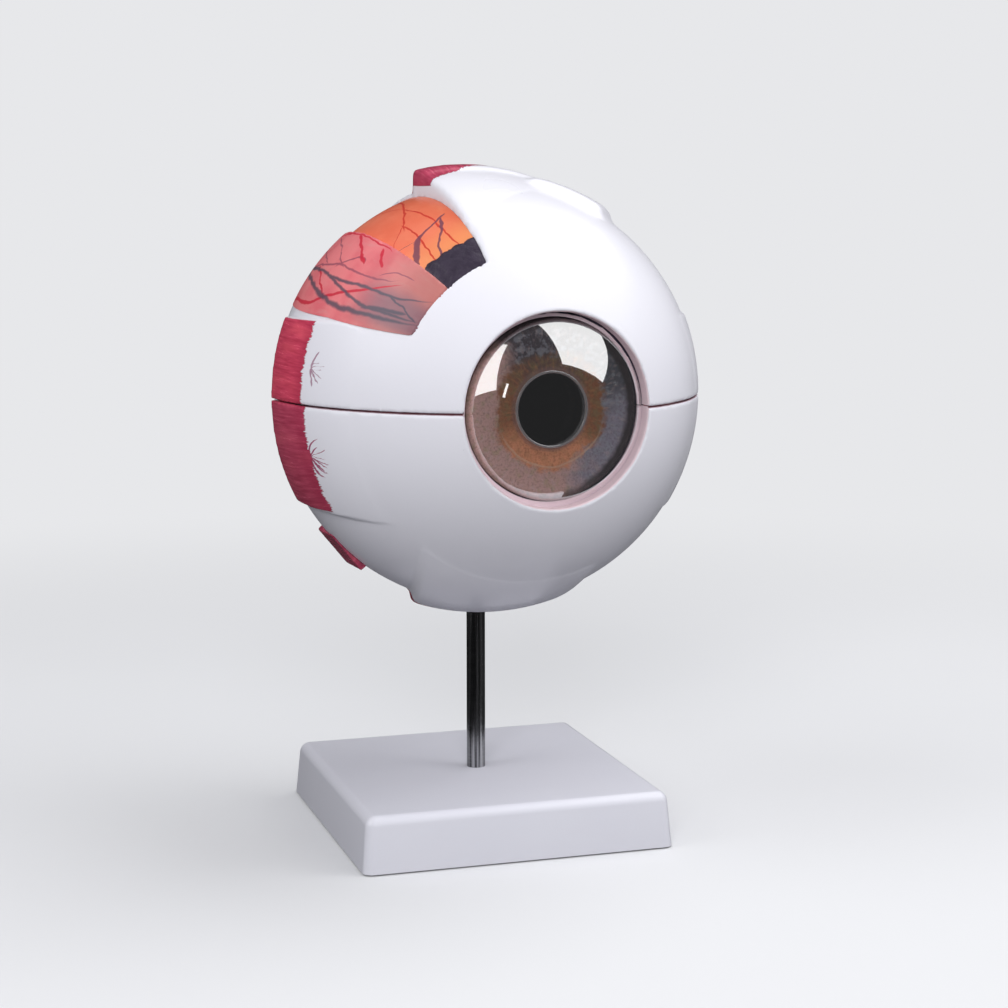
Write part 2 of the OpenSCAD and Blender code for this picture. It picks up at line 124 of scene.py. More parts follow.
class Finish:
    """A material or a world under construction; node() adds any node and gives back its reading."""

    def __init__(self, name, owners=None):
        self.material = (bpy.data.materials if owners is None else owners).new(name)
        self.material.use_nodes = True
        self.tree = self.material.node_tree
        self.tree.nodes.clear()

    def node(self, kind, settings=None, sockets=None, out=0):
        made = self.tree.nodes.new(kind)
        for key, value in (settings or {}).items():
            if key == "points":
                points = made.mapping.curves[0].points
                points[0].location, points[1].location = value[0], value[-1]
                for place in value[1:-1]:
                    points.new(*place)
                made.mapping.update()
            else:
                setattr(made, key, value)
        for key, value in (sockets or {}).items():
            socket = made.inputs[key]
            if isinstance(value, Reading):
                self.tree.links.new(value.socket, socket)
            elif socket.type == "RGBA":
                socket.default_value = (*value, 1)
            else:
                socket.default_value = value
        return Reading(self, made.outputs[out]) if made.outputs else None

    def mix(self, share, under, over):
        return self.node("ShaderNodeMix", {"data_type": "RGBA"}, {0: share, 6: under, 7: over}, out=2)

    def coats(self, colour, *coats):
        """Lays coats of (share, colour) over a first colour."""
        for share, over in coats:
            colour = self.mix(share, colour, over)
        return colour

    def grain(self, place, scale, detail=2.0, roughness=0.5):
        return self.node("ShaderNodeTexNoise", {}, {
            "Vector": place, "Scale": scale, "Detail": detail, "Roughness": roughness})

    def point(self, x, y, z):
        return self.node("ShaderNodeCombineXYZ", {}, {0: x, 1: y, 2: z})

    def place(self, centre=(0, 0, 0), turn=0.0):
        """The surface point in mm from a centre, as one vector."""
        here = self.node("ShaderNodeTexCoord", out="Object")
        return self.node("ShaderNodeMapping", {"vector_type": "TEXTURE"}, {
            "Vector": here, "Location": centre, "Rotation": (0, 0, turn), "Scale": (MM, MM, MM)})

    def eye_place(self):
        """The same from the eye's centre, with the optical axis along y and pointing back."""
        return self.place(EYE_CENTRE, EYE_TURN)

    def parts(self, place):
        split = self.node("ShaderNodeSeparateXYZ", {}, {0: place})
        return [Reading(self, socket) for socket in split.socket.node.outputs]

    def surface(self, colour, roughness, height=None, depth=0.0001, **more):
        """A Principled surface; height is a bump of that depth in metres."""
        sockets = {"Base Color": colour, "Roughness": roughness, **more}
        if height is not None:
            sockets["Normal"] = self.node("ShaderNodeBump", {}, {"Height": height, "Distance": depth})
        shader = self.node("ShaderNodeBsdfPrincipled", {}, sockets)
        self.node("ShaderNodeOutputMaterial", {}, {"Surface": shader})
        return self.material


def dress(part, material):
    """Gives the whole part one material."""
    part.data.materials.clear()
    part.data.materials.append(material)


BACKDROP, SKYLIGHT = (0.80, 0.805, 0.825), (0.95, 0.96, 1.0)
FILL, MIRRORED = 0.28, 0.04
SHEET_SIZE, FADE_START, FADE_END = 12, 180, 700

paper = Finish("pale_paper")
paper_place = paper.place()
paper_x, paper_y, paper_z = paper.parts(paper_place)
paper_tone = paper.grain(paper_place, 0.004)
seen = paper.node("ShaderNodeLightPath")
paper_colour = paper.mix(paper_tone, (0.76, 0.765, 0.785), (0.79, 0.795, 0.815))
paper_sheet = paper.node("ShaderNodeBsdfDiffuse", {}, {
    "Color": paper.mix(seen, (0.16, 0.16, 0.17), paper_colour)})
paper_glow = paper.node("ShaderNodeEmission", {}, {"Color": BACKDROP})
far = ((paper_x * paper_x + paper_y * paper_y) ** 0.5).rise(FADE_START, FADE_END) * seen
paper.node("ShaderNodeOutputMaterial", {}, {
    "Surface": paper.node("ShaderNodeMixShader", {}, {0: far, 1: paper_sheet, 2: paper_glow})})

sheet = add_part("studio_sheet", bpy.ops.mesh.primitive_plane_add, size=SHEET_SIZE)
bpy.ops.object.mode_set(mode="EDIT")
choose(sheet, "faces", lambda middle, face: True)
bpy.ops.mesh.subdivide(number_cuts=3)
bpy.ops.object.mode_set(mode="OBJECT")
dress(sheet, paper.material)
sheet.visible_glossy = False


def soft_box(name, towards, distance, wide, tall, upright, watts, mirrored=True):
    """A rectangular lamp that faces the eye; towards is its direction and upright its long side."""
    towards = Vector(towards).normalized()
    across = Vector(upright).cross(towards).normalized()
    upright = towards.cross(across)
    lamp = bpy.data.lights.new(name, "AREA")
    lamp.shape, lamp.size, lamp.size_y, lamp.energy = "RECTANGLE", wide, tall, watts
    stand_in = bpy.data.objects.new(name, lamp)
    stand_in.matrix_world = Matrix.Translation(EYE_CENTRE + towards * distance) @ Matrix(
        (across, upright, towards)).transposed().to_4x4()
    stand_in.visible_glossy = mirrored
    bpy.context.scene.collection.objects.link(stand_in)


BOX_AWAY, FILL_AWAY, FILL_SIZE = 1.1, 1.6, 0.8
soft_box("soft_box_right", (0.565, -0.067, 0.830), BOX_AWAY, 1.50, 1.05, (-0.79, -0.30, 0.54), 9.6)
soft_box("soft_box_left", (-0.809, -0.09, 0.594), BOX_AWAY, 0.60, 0.98, (0.415, 0.47, 0.733), 3.5)
soft_box("strip_lamp", (-0.705, -0.618, 0.324), BOX_AWAY, 0.05, 0.27, (0.085, 0.024, 0.23), 0.10)
for fill_name, fill_towards, fill_watts in (("front_fill", (-0.35, -0.90, 0.42), 14),
                                            ("right_fill", (0.86, -0.48, 0.18), 5)):
    soft_box(fill_name, fill_towards, FILL_AWAY, FILL_SIZE, FILL_SIZE, (0, 0, 1), fill_watts, mirrored=False)

even_fill = Finish("even_fill", bpy.data.worlds)
around = even_fill.node("ShaderNodeBackground", {}, {"Color": SKYLIGHT, "Strength": FILL})
for ray, colour, strength in (("Is Glossy Ray", SKYLIGHT, MIRRORED), ("Is Camera Ray", BACKDROP, 1.0)):
    chosen_ray = even_fill.node("ShaderNodeLightPath", out=ray)
    pale = even_fill.node("ShaderNodeBackground", {}, {"Color": colour, "Strength": strength})
    around = even_fill.node("ShaderNodeMixShader", {}, {0: chosen_ray, 1: around, 2: pale})
even_fill.node("ShaderNodeOutputWorld", {}, {"Surface": around})
bpy.context.scene.world = even_fill.material
bpy.context.scene.view_settings.view_transform = "Standard"

camera = bpy.data.cameras.new("photo_view")
camera.lens, camera.sensor_width, camera.clip_start = 78.34, 36, 0.05
viewer = bpy.data.objects.new("photo_view", camera)
viewer.location = (-0.20004, -0.66889, 0.2075)
viewer.rotation_euler = (pi / 2 - radians(8.41), 0, -radians(17.4025))
bpy.context.scene.collection.objects.link(viewer)
bpy.context.scene.camera = viewer

# ---------------------------------------------------------------- Base
# A hollow square foot, moulded in satin lavender-grey plastic with sloping
# sides and soft edges. A dull foam pad closes it underneath.

base_foot, base_head, base_low, base_high = 100 * MM, 97 * MM, 0.5 * MM, 17.8 * MM
base_wall, base_round, base_round_steps = 2.5 * MM, 3 * MM, 8


def finish_part(part, body, slot, *nodes, angle=35):
    """Puts the part's place into its mesh, smooths it, hides the CAD nodes that it stands for, and gives it
    to its body.
    """
    bpy.ops.object.select_all(action="DESELECT")
    bpy.context.view_layer.objects.active = part
    part.select_set(True)
    bpy.ops.object.transform_apply(location=True, rotation=True, scale=True)
    bpy.ops.object.shade_smooth_by_angle(angle=radians(angle))
    if nodes:
        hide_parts(*nodes)
    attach(part, body)


base_paint = Finish("satin_lavender_plastic")
base_place = base_paint.place()
base_tone = base_paint.grain(base_place, 0.03)
base_skin = base_paint.grain(base_place, 1.6, 3)
base_paint.surface(base_paint.mix(base_tone, (0.71, 0.71, 0.785), (0.75, 0.75, 0.82)),
                   base_tone * 0.06 + 0.30, base_skin, 0.00002)

base = add_part("base_moulding", bpy.ops.mesh.primitive_cube_add, size=1,
                location=(0, 0, (base_low + base_high) / 2))
base.scale = (base_foot, base_foot, base_high - base_low)
bpy.ops.object.transform_apply(location=True, rotation=True, scale=True)
bpy.ops.object.mode_set(mode="EDIT")
choose(base, "faces", lambda middle, face: middle.z > base_high - MM)
bpy.ops.transform.resize(value=(base_head / base_foot, base_head / base_foot, 1))
choose(base, "edges", lambda middle, edge: middle.z > base_low + MM)
bpy.ops.mesh.bevel(offset=base_round, segments=base_round_steps, profile=0.5, clamp_overlap=False)
choose(base, "faces", lambda middle, face: middle.z < base_low + 0.1 * MM)
bpy.ops.mesh.inset(thickness=base_wall)
base_hollow = base_high - base_low - base_wall
bpy.ops.mesh.extrude_region_move(TRANSFORM_OT_translate={"value": (0, 0, base_hollow)})
bpy.ops.object.mode_set(mode="OBJECT")
dress(base, base_paint.material)
finish_part(base, "stand", "base_plastic", "base_shell")

foam = Finish("grey_foam")
foam_place = foam.place()
foam_cells = foam.node("ShaderNodeTexVoronoi", {}, {"Vector": foam_place, "Scale": 1.4})
foam.surface(foam.mix(foam_cells, (0.05, 0.05, 0.055), (0.10, 0.10, 0.105)), 0.92, foam_cells, 0.0002)
dress(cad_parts["base_pad"], foam.material)

# ---------------------------------------------------------------- Rod
# A drawn steel bar with a thinner stud at its foot, chamfered at both ends and
# finely brushed round its axis. Its nut and washer are zinc plated.

rod_r, stud_r, rod_low, rod_high, rod_chamfer = 3 * MM, 2.5 * MM, 3 * MM, 91 * MM, 0.35 * MM

steel = Finish("brushed_steel")
steel_x, steel_y, steel_z = steel.parts(steel.place())
steel_round = steel_y.angle(steel_x)
steel_lines = steel.grain(steel.point(steel_round * 0.6, 0.0, steel_z * 5), 1.0, 5, 0.7)
# Painted reflections: broad dark and bright streaks down the rod, laid into the metal's colour as the
# mirrored dark and bright surroundings.
steel_reflection_bands = steel.grain(steel.point(steel_round * 2.2, 0.0, steel_z * 0.012), 1.0, 3, 0.6)
steel_reflected_tone = steel.mix(steel_reflection_bands.rise(0.42, 0.66), (0.08, 0.08, 0.085), (0.62, 0.62, 0.63))
steel.surface(steel.mix(steel_lines.rise(0.45, 0.75) * 0.35, steel_reflected_tone, (0.72, 0.72, 0.73)),
              steel_lines * 0.12 + 0.14, steel_lines, 0.00001, Metallic=1.0)

rod = add_part("steel_rod", bpy.ops.mesh.primitive_cylinder_add, vertices=96, radius=rod_r,
               depth=rod_high - base_high, location=(0, 0, (rod_high + base_high) / 2))
bpy.ops.object.transform_apply(location=True, rotation=True, scale=True)
bpy.ops.object.mode_set(mode="EDIT")
choose(rod, "faces", lambda middle, face: middle.z < base_high + 0.1 * MM)
bpy.ops.mesh.inset(thickness=rod_r - stud_r)
bpy.ops.mesh.extrude_region_move(TRANSFORM_OT_translate={"value": (0, 0, rod_low - base_high)})
choose(rod, "edges", lambda middle, edge: abs(edge.verts[0].co.z - edge.verts[1].co.z) < 0.01 * MM
       and (middle.z > rod_high - 0.1 * MM or middle.z < rod_low + 0.1 * MM))
bpy.ops.mesh.bevel(offset=rod_chamfer, segments=2)
bpy.ops.object.mode_set(mode="OBJECT")
dress(rod, steel.material)
finish_part(rod, "stand", "rod_steel", "support_rod")

zinc = Finish("zinc_plate")
zinc_spots = zinc.node("ShaderNodeTexVoronoi", {}, {"Vector": zinc.place(), "Scale": 0.9})
zinc.surface(zinc.mix(zinc_spots, (0.50, 0.50, 0.49), (0.64, 0.64, 0.62)),
             zinc_spots * 0.2 + 0.28, Metallic=1.0)
for fixing in ("rod_washer", "rod_nut"):
    dress(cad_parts[fixing], zinc.material)

# ---------------------------------------------------------------- Rod socket
# A plain moulded tube, closed at its top, that stands up inside the lower half
# and turns on the rod.

socket_paint = Finish("plain_grey_plastic")
socket_tone = socket_paint.grain(socket_paint.place(), 0.8, 3)
socket_paint.surface(socket_paint.mix(socket_tone, (0.66, 0.66, 0.68), (0.72, 0.72, 0.74)), 0.5,
                     socket_tone, 0.00003)
dress(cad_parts["rod_socket"], socket_paint.material)

# ---------------------------------------------------------------- White castings
# The two halves of the ball, moulded in glossy white plastic together with the
# raised tendons. Their edges are soft, the wall of the front opening is pink,
# and small red vessels are brushed on beside the side muscle.

EYE_MATRIX = (Matrix.Translation((0, 0, EYE_HEIGHT * MM)) @ Matrix.Rotation(EYE_TURN, 4, "Z")
              @ Matrix.Translation((0, -EYE_AHEAD * MM, 0)) @ Matrix.Rotation(pi / 2, 4, "X"))
BALL_R, WHITE_INNER_R = 66.25, 64.9
CASTING_VOXEL, CASTING_ROUNDS, WEAR_ROUNDS, SKIN_CATCH, HIDDEN_KEPT = 0.7, 5, 60, 0.2, 0.62


def in_eye(point):
    """A point in mm to the right, forwards and up from the eye's centre."""
    local = EYE_MATRIX.inverted() @ point
    return local.x / MM, local.z / MM, local.y / MM


def far_out(x, ahead, z):
    """How far in mm a point lies from the eye's centre."""
    return sqrt(x * x + ahead * ahead + z * z)


def soften(name, sources, voxel, rounds, ball=None, hidden=None, worn=None):
    """Copies solids into one piece and rounds its edges as a mould does.
    ball is the radius that the smooth skin keeps, hidden picks what may be coarse,
    and worn gives the share by which a place is rounded off more."""
    bpy.ops.object.select_all(action="DESELECT")
    for node in sources:
        twin = bpy.data.objects.new(name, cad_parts[node].data.copy())
        bpy.context.scene.collection.objects.link(twin)
        twin.select_set(True)
    bpy.context.view_layer.objects.active = twin
    if len(sources) > 1:
        bpy.ops.object.join()
    part = bpy.context.active_object
    part.name = part.data.name = name
    bpy.ops.object.mode_set(mode="EDIT")
    bpy.ops.mesh.select_all(action="SELECT")
    bpy.ops.mesh.remove_doubles(threshold=0.001 * MM)
    bpy.ops.object.mode_set(mode="OBJECT")
    blocks = part.modifiers.new("blocks", "REMESH")
    blocks.mode, blocks.voxel_size = "VOXEL", voxel * MM
    bpy.ops.object.modifier_apply(modifier=blocks.name)
    rounding = part.modifiers.new("rounding", "SMOOTH")
    rounding.factor, rounding.iterations = 0.5, rounds
    bpy.ops.object.modifier_apply(modifier=rounding.name)
    if worn:
        raised = part.vertex_groups.new(name="worn")
        for vertex in part.data.vertices:
            share = worn(*in_eye(vertex.co))
            if share > 0:
                raised.add([vertex.index], share, "REPLACE")
        wear = part.modifiers.new("wear", "SMOOTH")
        wear.factor, wear.iterations, wear.vertex_group = 0.5, WEAR_ROUNDS, raised.name
        bpy.ops.object.modifier_apply(modifier=wear.name)
    if ball:
        for vertex in part.data.vertices:
            arm = vertex.co - EYE_CENTRE
            gap = arm.length / MM - ball
            if abs(gap) < SKIN_CATCH:
                keep = (abs(gap) / SKIN_CATCH) ** 2
                vertex.co = EYE_CENTRE + arm.normalized() * (ball + gap * keep) * MM
    if hidden:
        bpy.ops.object.mode_set(mode="EDIT")
        bpy.ops.mesh.select_all(action="SELECT")
        bpy.ops.mesh.quads_convert_to_tris()
        bpy.ops.object.mode_set(mode="OBJECT")
        inner = part.vertex_groups.new(name="hidden")
        inner.add([v.index for v in part.data.vertices if hidden(*in_eye(v.co))], 1.0, "REPLACE")
        thinning = part.modifiers.new("thinning", "DECIMATE")
        thinning.ratio, thinning.vertex_group, thinning.vertex_group_factor = HIDDEN_KEPT, inner.name, 1.0
        bpy.ops.object.modifier_apply(modifier=thinning.name)
    part.data.materials.clear()
    return part


def stroke(along, across, points, width):
    """How far a point lies from a brushed line, where 1 is the line's edge; its ends are tapered."""
    first, last = points[0][0], points[-1][0]
    low = min(p[1] for p in points)
    span = max(p[1] for p in points) - low + 0.001
    part_way = (along - first) * (1 / (last - first))
    bends = [((a - first) / (last - first), (b - low) / span) for a, b in points]
    line = along.finish.node("ShaderNodeFloatCurve", {"points": bends}, {"Value": part_way})
    return abs(across - line * span - low) * (1 / width) + abs(part_way * 2 - 1) ** 8


def strokes(along, across, lines, solid=0.7, gone=1.15):
    """The mask of several brushed lines, full within the share solid of their width and gone beyond gone."""
    nearest = None
    for width, *points in lines:
        away = stroke(along, across, points, width / 2)
        nearest = away if nearest is None else nearest.least(away)
    return 1 - nearest.rise(solid, gone)


def white_plastic(name, tufts, tuft_ink, tuft_tint):
    """Glossy white with the pink wall of the opening, painted shade along the seam between the halves, tinted
    pink like the inner layer seen in the gap, and the little vessels.
    """
    finish = Finish(name)
    place = finish.eye_place()
    x, y, z = finish.parts(place)
    ahead = y * -1
    off_axis = (x * x + z * z) ** 0.5
    tone = finish.grain(place, 0.02)
    wobble = finish.grain(place, 0.35, 3)
    inside = (1 - (off_axis + wobble * 0.5).rise(29.1, 29.6)) * ahead.rise(0, 10)
    # Painted shade: the seam between the halves is darkened as the gap's shade, tinted pink like the inner
    # layer seen through it.
    seam_shade = (1 - (abs(z) + wobble * 0.25).rise(0.3, 0.62)) * 0.85
    up = z.angle(x * -1) * BALL_R
    jitter = (finish.grain(place, 0.9) - 0.5) * 0.7
    lines = strokes(up + jitter, ahead + jitter, tufts) * (1 - x.rise(-30, -20))
    colour = finish.coats(
        (0.80, 0.795, 0.865),
        (tone, (0.84, 0.835, 0.895)),
        (inside, (0.88, 0.71, 0.76)),
        (seam_shade, (0.30, 0.10, 0.14)),
        (lines * tuft_tint, tuft_ink))
    skin = finish.grain(place, 0.5, 2)
    return finish.surface(colour, tone * 0.05 + 0.26, skin, 0.00003, **{"Specular IOR Level": 0.25})


OPENING_R, RIM_ROUND, RIM_NEAR, SEAM_HALF = 28.9, 0.6, 56, 0.7


def true_rim(casting):
    """Evens the rounded rim of the front opening."""
    rim_r = OPENING_R + RIM_ROUND
    rim_ahead = sqrt((BALL_R - RIM_ROUND) ** 2 - rim_r ** 2)
    for vertex in casting.data.vertices:
        x, ahead, z = in_eye(vertex.co)
        off_axis = sqrt(x * x + z * z)
        if ahead < RIM_NEAR or not OPENING_R - 1 < off_axis < OPENING_R + 2 or abs(z) < SEAM_HALF:
            continue
        out, on = off_axis - rim_r, ahead - rim_ahead
        if on < 0 and out < 0.2:
            new_r, new_ahead = OPENING_R, ahead
        elif out * rim_ahead - on * rim_r > 0:
            stretch = BALL_R / sqrt(off_axis ** 2 + ahead ** 2)
            new_r, new_ahead = off_axis * stretch, ahead * stretch
        else:
            reach = RIM_ROUND / sqrt(out * out + on * on)
            new_r, new_ahead = rim_r + out * reach, rim_ahead + on * reach
        vertex.co = EYE_MATRIX @ (Vector((x * new_r / off_axis, z * new_r / off_axis, new_ahead)) * MM)


WINDOW_FRONT, WINDOW_REAR = BALL_R * cos(radians(44.7)), BALL_R * cos(radians(117))
SILL_BEND, SILL_HEIGHT, SILL_FALL_AHEAD, SILL_FALL_BEHIND = 20, 26.4, 4.0, 2.8
STRAP_LEFT, STRAP_FLARE = 17.6, radians(5.5)
WINDOW_ROUND, WINDOW_DEPTH, WALL_NEAR, WALL_SNAP = 0.5, 2, 1.3, 0.6


def window_wall(x, ahead, z):
    """The window wall nearest to a point: how far past it the point lies, and the way into the white."""
    if ahead > SILL_BEND:
        slope = SILL_FALL_AHEAD / (WINDOW_FRONT - SILL_BEND)
    else:
        slope = SILL_FALL_BEHIND / (SILL_BEND - WINDOW_REAR)
    lean = sqrt(1 + slope * slope)
    return max(
        (ahead - WINDOW_FRONT, (0, 1, 0)), (WINDOW_REAR - ahead, (0, -1, 0)),
        ((SILL_HEIGHT - slope * (ahead - SILL_BEND) - z) / lean, (0, -slope / lean, -1 / lean)),
        ((x + STRAP_LEFT) * cos(STRAP_FLARE) - (ahead - WINDOW_FRONT) * sin(STRAP_FLARE),
         (cos(STRAP_FLARE), -sin(STRAP_FLARE), 0)))


def settled(x, ahead, z, distance, out):
    """A point, moved until it lies at a distance from the eye's centre and out from the window's wall."""
    point = Vector((x, ahead, z))
    for step in range(12):
        now, way = window_wall(*point)
        point += Vector(way) * (out - now)
        point *= distance / point.length
    return EYE_MATRIX @ (Vector((point.x, point.z, point.y)) * MM)


def true_window(casting):
    """Cuts the window's edges true, with a small round where they meet the ball."""
    for vertex in casting.data.vertices:
        x, ahead, z = in_eye(vertex.co)
        if z < 20 or x > -10:
            continue
        distance = far_out(x, ahead, z)
        depth = BALL_R - distance
        out, way = window_wall(x, ahead, z)
        if way[0] > 0.5 or not -0.3 < depth < WINDOW_DEPTH or not -WALL_NEAR < out < WALL_NEAR:
            continue
        if depth >= WINDOW_ROUND:
            if abs(out) < WALL_SNAP:
                vertex.co = settled(x, ahead, z, distance, 0)
        elif out >= WINDOW_ROUND:
            vertex.co = settled(x, ahead, z, BALL_R, out)
        else:
            reach = WINDOW_ROUND / sqrt((WINDOW_ROUND - depth) ** 2 + (WINDOW_ROUND - out) ** 2)
            vertex.co = settled(x, ahead, z, BALL_R - WINDOW_ROUND + (WINDOW_ROUND - depth) * reach,
                                WINDOW_ROUND - (WINDOW_ROUND - out) * reach)


tufts_upper = [
    (0.75, (11.8, 20.2), (13.3, 20.6), (15.6, 21.6), (17.4, 22.6)),
    (0.69, (11.6, 20.4), (12.6, 21.8), (13.6, 23.8), (13.2, 25.6)),
    (0.69, (11.4, 20.6), (12.2, 22.8), (12.0, 24.4)),
    (0.75, (7.4, 24.2), (9.0, 22.6), (10.8, 21.2), (11.8, 20.2)),
    (0.75, (6.2, 21.6), (8.2, 21.2), (10.0, 20.6), (11.6, 20.2)),
    (0.62, (9.0, 25.4), (10.0, 23.6), (10.8, 22.2), (11.7, 20.8)),
    (0.62, (14.0, 23.4), (14.6, 21.8), (13.2, 21.0), (11.9, 20.6)),
    (1.12, (9.8, 20.8), (10.8, 20.5), (11.8, 20.6)),
]
tufts_lower = [
    (0.94, (-15.2, 18.2), (-13.0, 18.8), (-11.2, 20.6), (-9.9, 23.6)),
    (0.88, (-15.6, 18.4), (-15.0, 20.4), (-14.6, 22.6), (-13.6, 25.4)),
    (0.94, (-18.6, 25.6), (-17.6, 22.8), (-16.6, 20.4), (-15.6, 18.4)),
    (0.81, (-16.7, 24.8), (-16.3, 22.6), (-15.9, 20.6), (-15.5, 18.6)),
    (0.88, (-20.6, 23.2), (-19.2, 21.6), (-17.6, 20.0), (-15.8, 18.6)),
    (1.06, (-22.8, 22.6), (-21.4, 20.2), (-19.0, 18.8), (-15.6, 18.0)),
    (0.81, (-12.6, 22.6), (-13.4, 21.0), (-14.4, 19.8), (-15.4, 18.6)),
    (0.75, (-19.6, 24.6), (-18.2, 22.4), (-17.0, 20.8), (-15.7, 18.8)),
    (0.75, (-21.6, 24.4), (-20.2, 21.8), (-18.4, 20.2), (-15.9, 18.7)),
    (1.62, (-17.2, 18.9), (-15.9, 18.5), (-14.6, 18.8)),
]
white_upper = white_plastic("glossy_white_upper", tufts_upper, (0.34, 0.16, 0.24), 0.85)
white_lower = white_plastic("glossy_white_lower", tufts_lower, (0.34, 0.05, 0.13), 0.95)


def deep(x, ahead, z):
    """True for the inner skin of the white shell, which the next layer covers."""
    return far_out(x, ahead, z) < WHITE_INNER_R


def ease(value, low, high):
    return min(max((value - low) / (high - low), 0), 1)


def worn_above(x, ahead, z):
    """The top strap and the oblique tendon have broad round shoulders."""
    height = far_out(x, ahead, z) - WHITE_INNER_R
    return ease(z, 42, 50) * ease(height, 0, 0.4) * ease(ahead, -7, -4) * (0.5 + 0.5 * ease(x, 8, 13))


def worn_below(x, ahead, z):
    """So has the bottom strap."""
    height = far_out(x, ahead, z) - WHITE_INNER_R
    return ease(-z, 42, 50) * ease(height, 0, 0.4) * ease(ahead, -7, -4) * 0.75


casting_upper = soften(
    "white_casting_upper",
    ["sclera_upper", "lateral_rectus_upper", "medial_rectus_upper", "superior_rectus", "superior_oblique"],
    CASTING_VOXEL, CASTING_ROUNDS, BALL_R, deep, worn_above)
true_rim(casting_upper)
true_window(casting_upper)
dress(casting_upper, white_upper)
casting_lower = soften(
    "white_casting_lower",
    ["sclera_lower", "lateral_rectus_lower", "medial_rectus_lower", "inferior_rectus"],
    CASTING_VOXEL, CASTING_ROUNDS, BALL_R, deep, worn_below)
true_rim(casting_lower)
dress(casting_lower, white_lower)

# ---------------------------------------------------------------- Muscles
# The cut muscle stubs: crimson paint, brushed lengthwise over the moulded
# straps in a thin coat that ends in a ragged edge on the tendon.

COAT_LIFT, COAT_THICK, COAT_STEP, STRAP_STEP = 0.03 * MM, 0.08 * MM, 0.12, 0.2
SIDE_FROM, SIDE_UPPER_FRONT, SIDE_UPPER_TOP, SIDE_LOWER_FRONT, SIDE_LOWER_FOOT = 30, 23, 28, 24, -34
TOP_FROM, TOP_LEFT, TOP_RIGHT, TOP_LEAN, TOP_FRONT = 50, -26, 19.5, 0.4, 13
FOOT_BELOW, FOOT_FRONT, STUB_VOXEL, STUB_ROUNDS = -50, 8, 0.4, 3


def muscle_paint(name, bright, edge, ragged, rim_low=None, rim_high=None, lean=0.0):
    """Crimson paint that ends at a ragged edge ahead, and at rim_low and rim_high in height if given.
    lean is how fast that edge falls back towards the right."""
    finish = Finish(name)
    place = finish.eye_place()
    x, y, z = finish.parts(place)
    ahead = y * -1
    around = z.angle(x) * BALL_R
    brushed = finish.grain(finish.point(around * 0.9, ahead * 0.07, 0.0), 1.0, 4, 0.65)
    broad = finish.grain(finish.point(around * 0.16, ahead * 0.05, 3.0), 1.0, 2)
    fine = finish.grain(finish.point(around * 2.6, ahead * 0.16, 7.0), 1.0, 2)
    colour = finish.coats(
        (0.36 * bright, 0.036, 0.080),
        (brushed.rise(0.3, 0.7), (0.55 * bright, 0.080, 0.150)),
        (broad.rise(0.45, 0.75) * 0.5, (0.66 * bright, 0.12, 0.17)),
        (ahead.rise(11, 16) * 0.35, (0.30, 0.012, 0.05)))
    tips = (fine - 0.5) * ragged + (broad - 0.5) * ragged * 0.8 + (brushed - 0.5) * ragged
    cover = 1 - (ahead - tips + (x + 20) * lean).rise(edge - 0.25, edge + 0.45)
    rim_wave = (broad - 0.5) * 0.8
    if rim_high is not None:
        cover = cover * (1 - (z + rim_wave).rise(rim_high - 0.25, rim_high + 0.15))
    if rim_low is not None:
        cut_face = 1 - ahead.rise(-5.0, -4.0)
        cover = cover * (z + rim_wave + cut_face * 20).rise(rim_low - 0.15, rim_low + 0.25)
    return finish.surface(colour, brushed * 0.12 + 0.2, brushed, 0.00005, Alpha=cover)


def brush_on(name, casting, region, material, body, node):
    """Lifts the casting's skin inside the region off as a thin coat of paint."""
    bpy.ops.object.select_all(action="DESELECT")
    coat = bpy.data.objects.new(name, casting.data.copy())
    bpy.context.scene.collection.objects.link(coat)
    bpy.context.view_layer.objects.active = coat
    coat.select_set(True)
    bpy.ops.object.mode_set(mode="EDIT")
    choose(coat, "faces", lambda middle, face: not region(*in_eye(middle)))
    bpy.ops.mesh.delete(type="FACE")
    bpy.ops.mesh.select_all(action="SELECT")
    bpy.ops.transform.shrink_fatten(value=COAT_LIFT)
    bpy.ops.object.mode_set(mode="OBJECT")
    body_of_coat = coat.modifiers.new("thickness", "SOLIDIFY")
    body_of_coat.thickness, body_of_coat.offset = COAT_THICK, -1
    bpy.ops.object.modifier_apply(modifier=body_of_coat.name)
    dress(coat, material)
    finish_part(coat, body, "muscle_red", node, angle=60)


def proud(x, ahead, z):
    """How far a point stands above the ball, in mm."""
    return far_out(x, ahead, z) - BALL_R


side_upper = muscle_paint("crimson_side_upper", 1.35, 16.6, 3.4, rim_high=25.0)
side_lower = muscle_paint("crimson_side_lower", 1.05, 18.3, 3.2, rim_low=-32.4)
top_coat = muscle_paint("crimson_top", 1.02, 8.2, 2.4, rim_low=64.6, lean=0.5)
foot_coat = muscle_paint("crimson_foot", 1.1, 3.2, 3.0)
for side, sign in (("lateral", -1), ("medial", 1)):
    brush_on(side + "_rectus_upper_paint", casting_upper,
             lambda x, ahead, z, s=sign: x * s > SIDE_FROM and proud(x, ahead, z) > COAT_STEP
             and ahead < SIDE_UPPER_FRONT and z < SIDE_UPPER_TOP,
             side_upper, "eyeball_upper", side + "_rectus_upper")
    brush_on(side + "_rectus_lower_paint", casting_lower,
             lambda x, ahead, z, s=sign: x * s > SIDE_FROM and proud(x, ahead, z) > COAT_STEP
             and ahead < SIDE_LOWER_FRONT and z > SIDE_LOWER_FOOT,
             side_lower, "eyeball_lower", side + "_rectus_lower")
brush_on("superior_rectus_paint", casting_upper,
         lambda x, ahead, z: z > TOP_FROM and TOP_LEFT < x < TOP_RIGHT - TOP_LEAN * ahead
         and proud(x, ahead, z) > STRAP_STEP and ahead < TOP_FRONT,
         top_coat, "eyeball_upper", "superior_rectus")
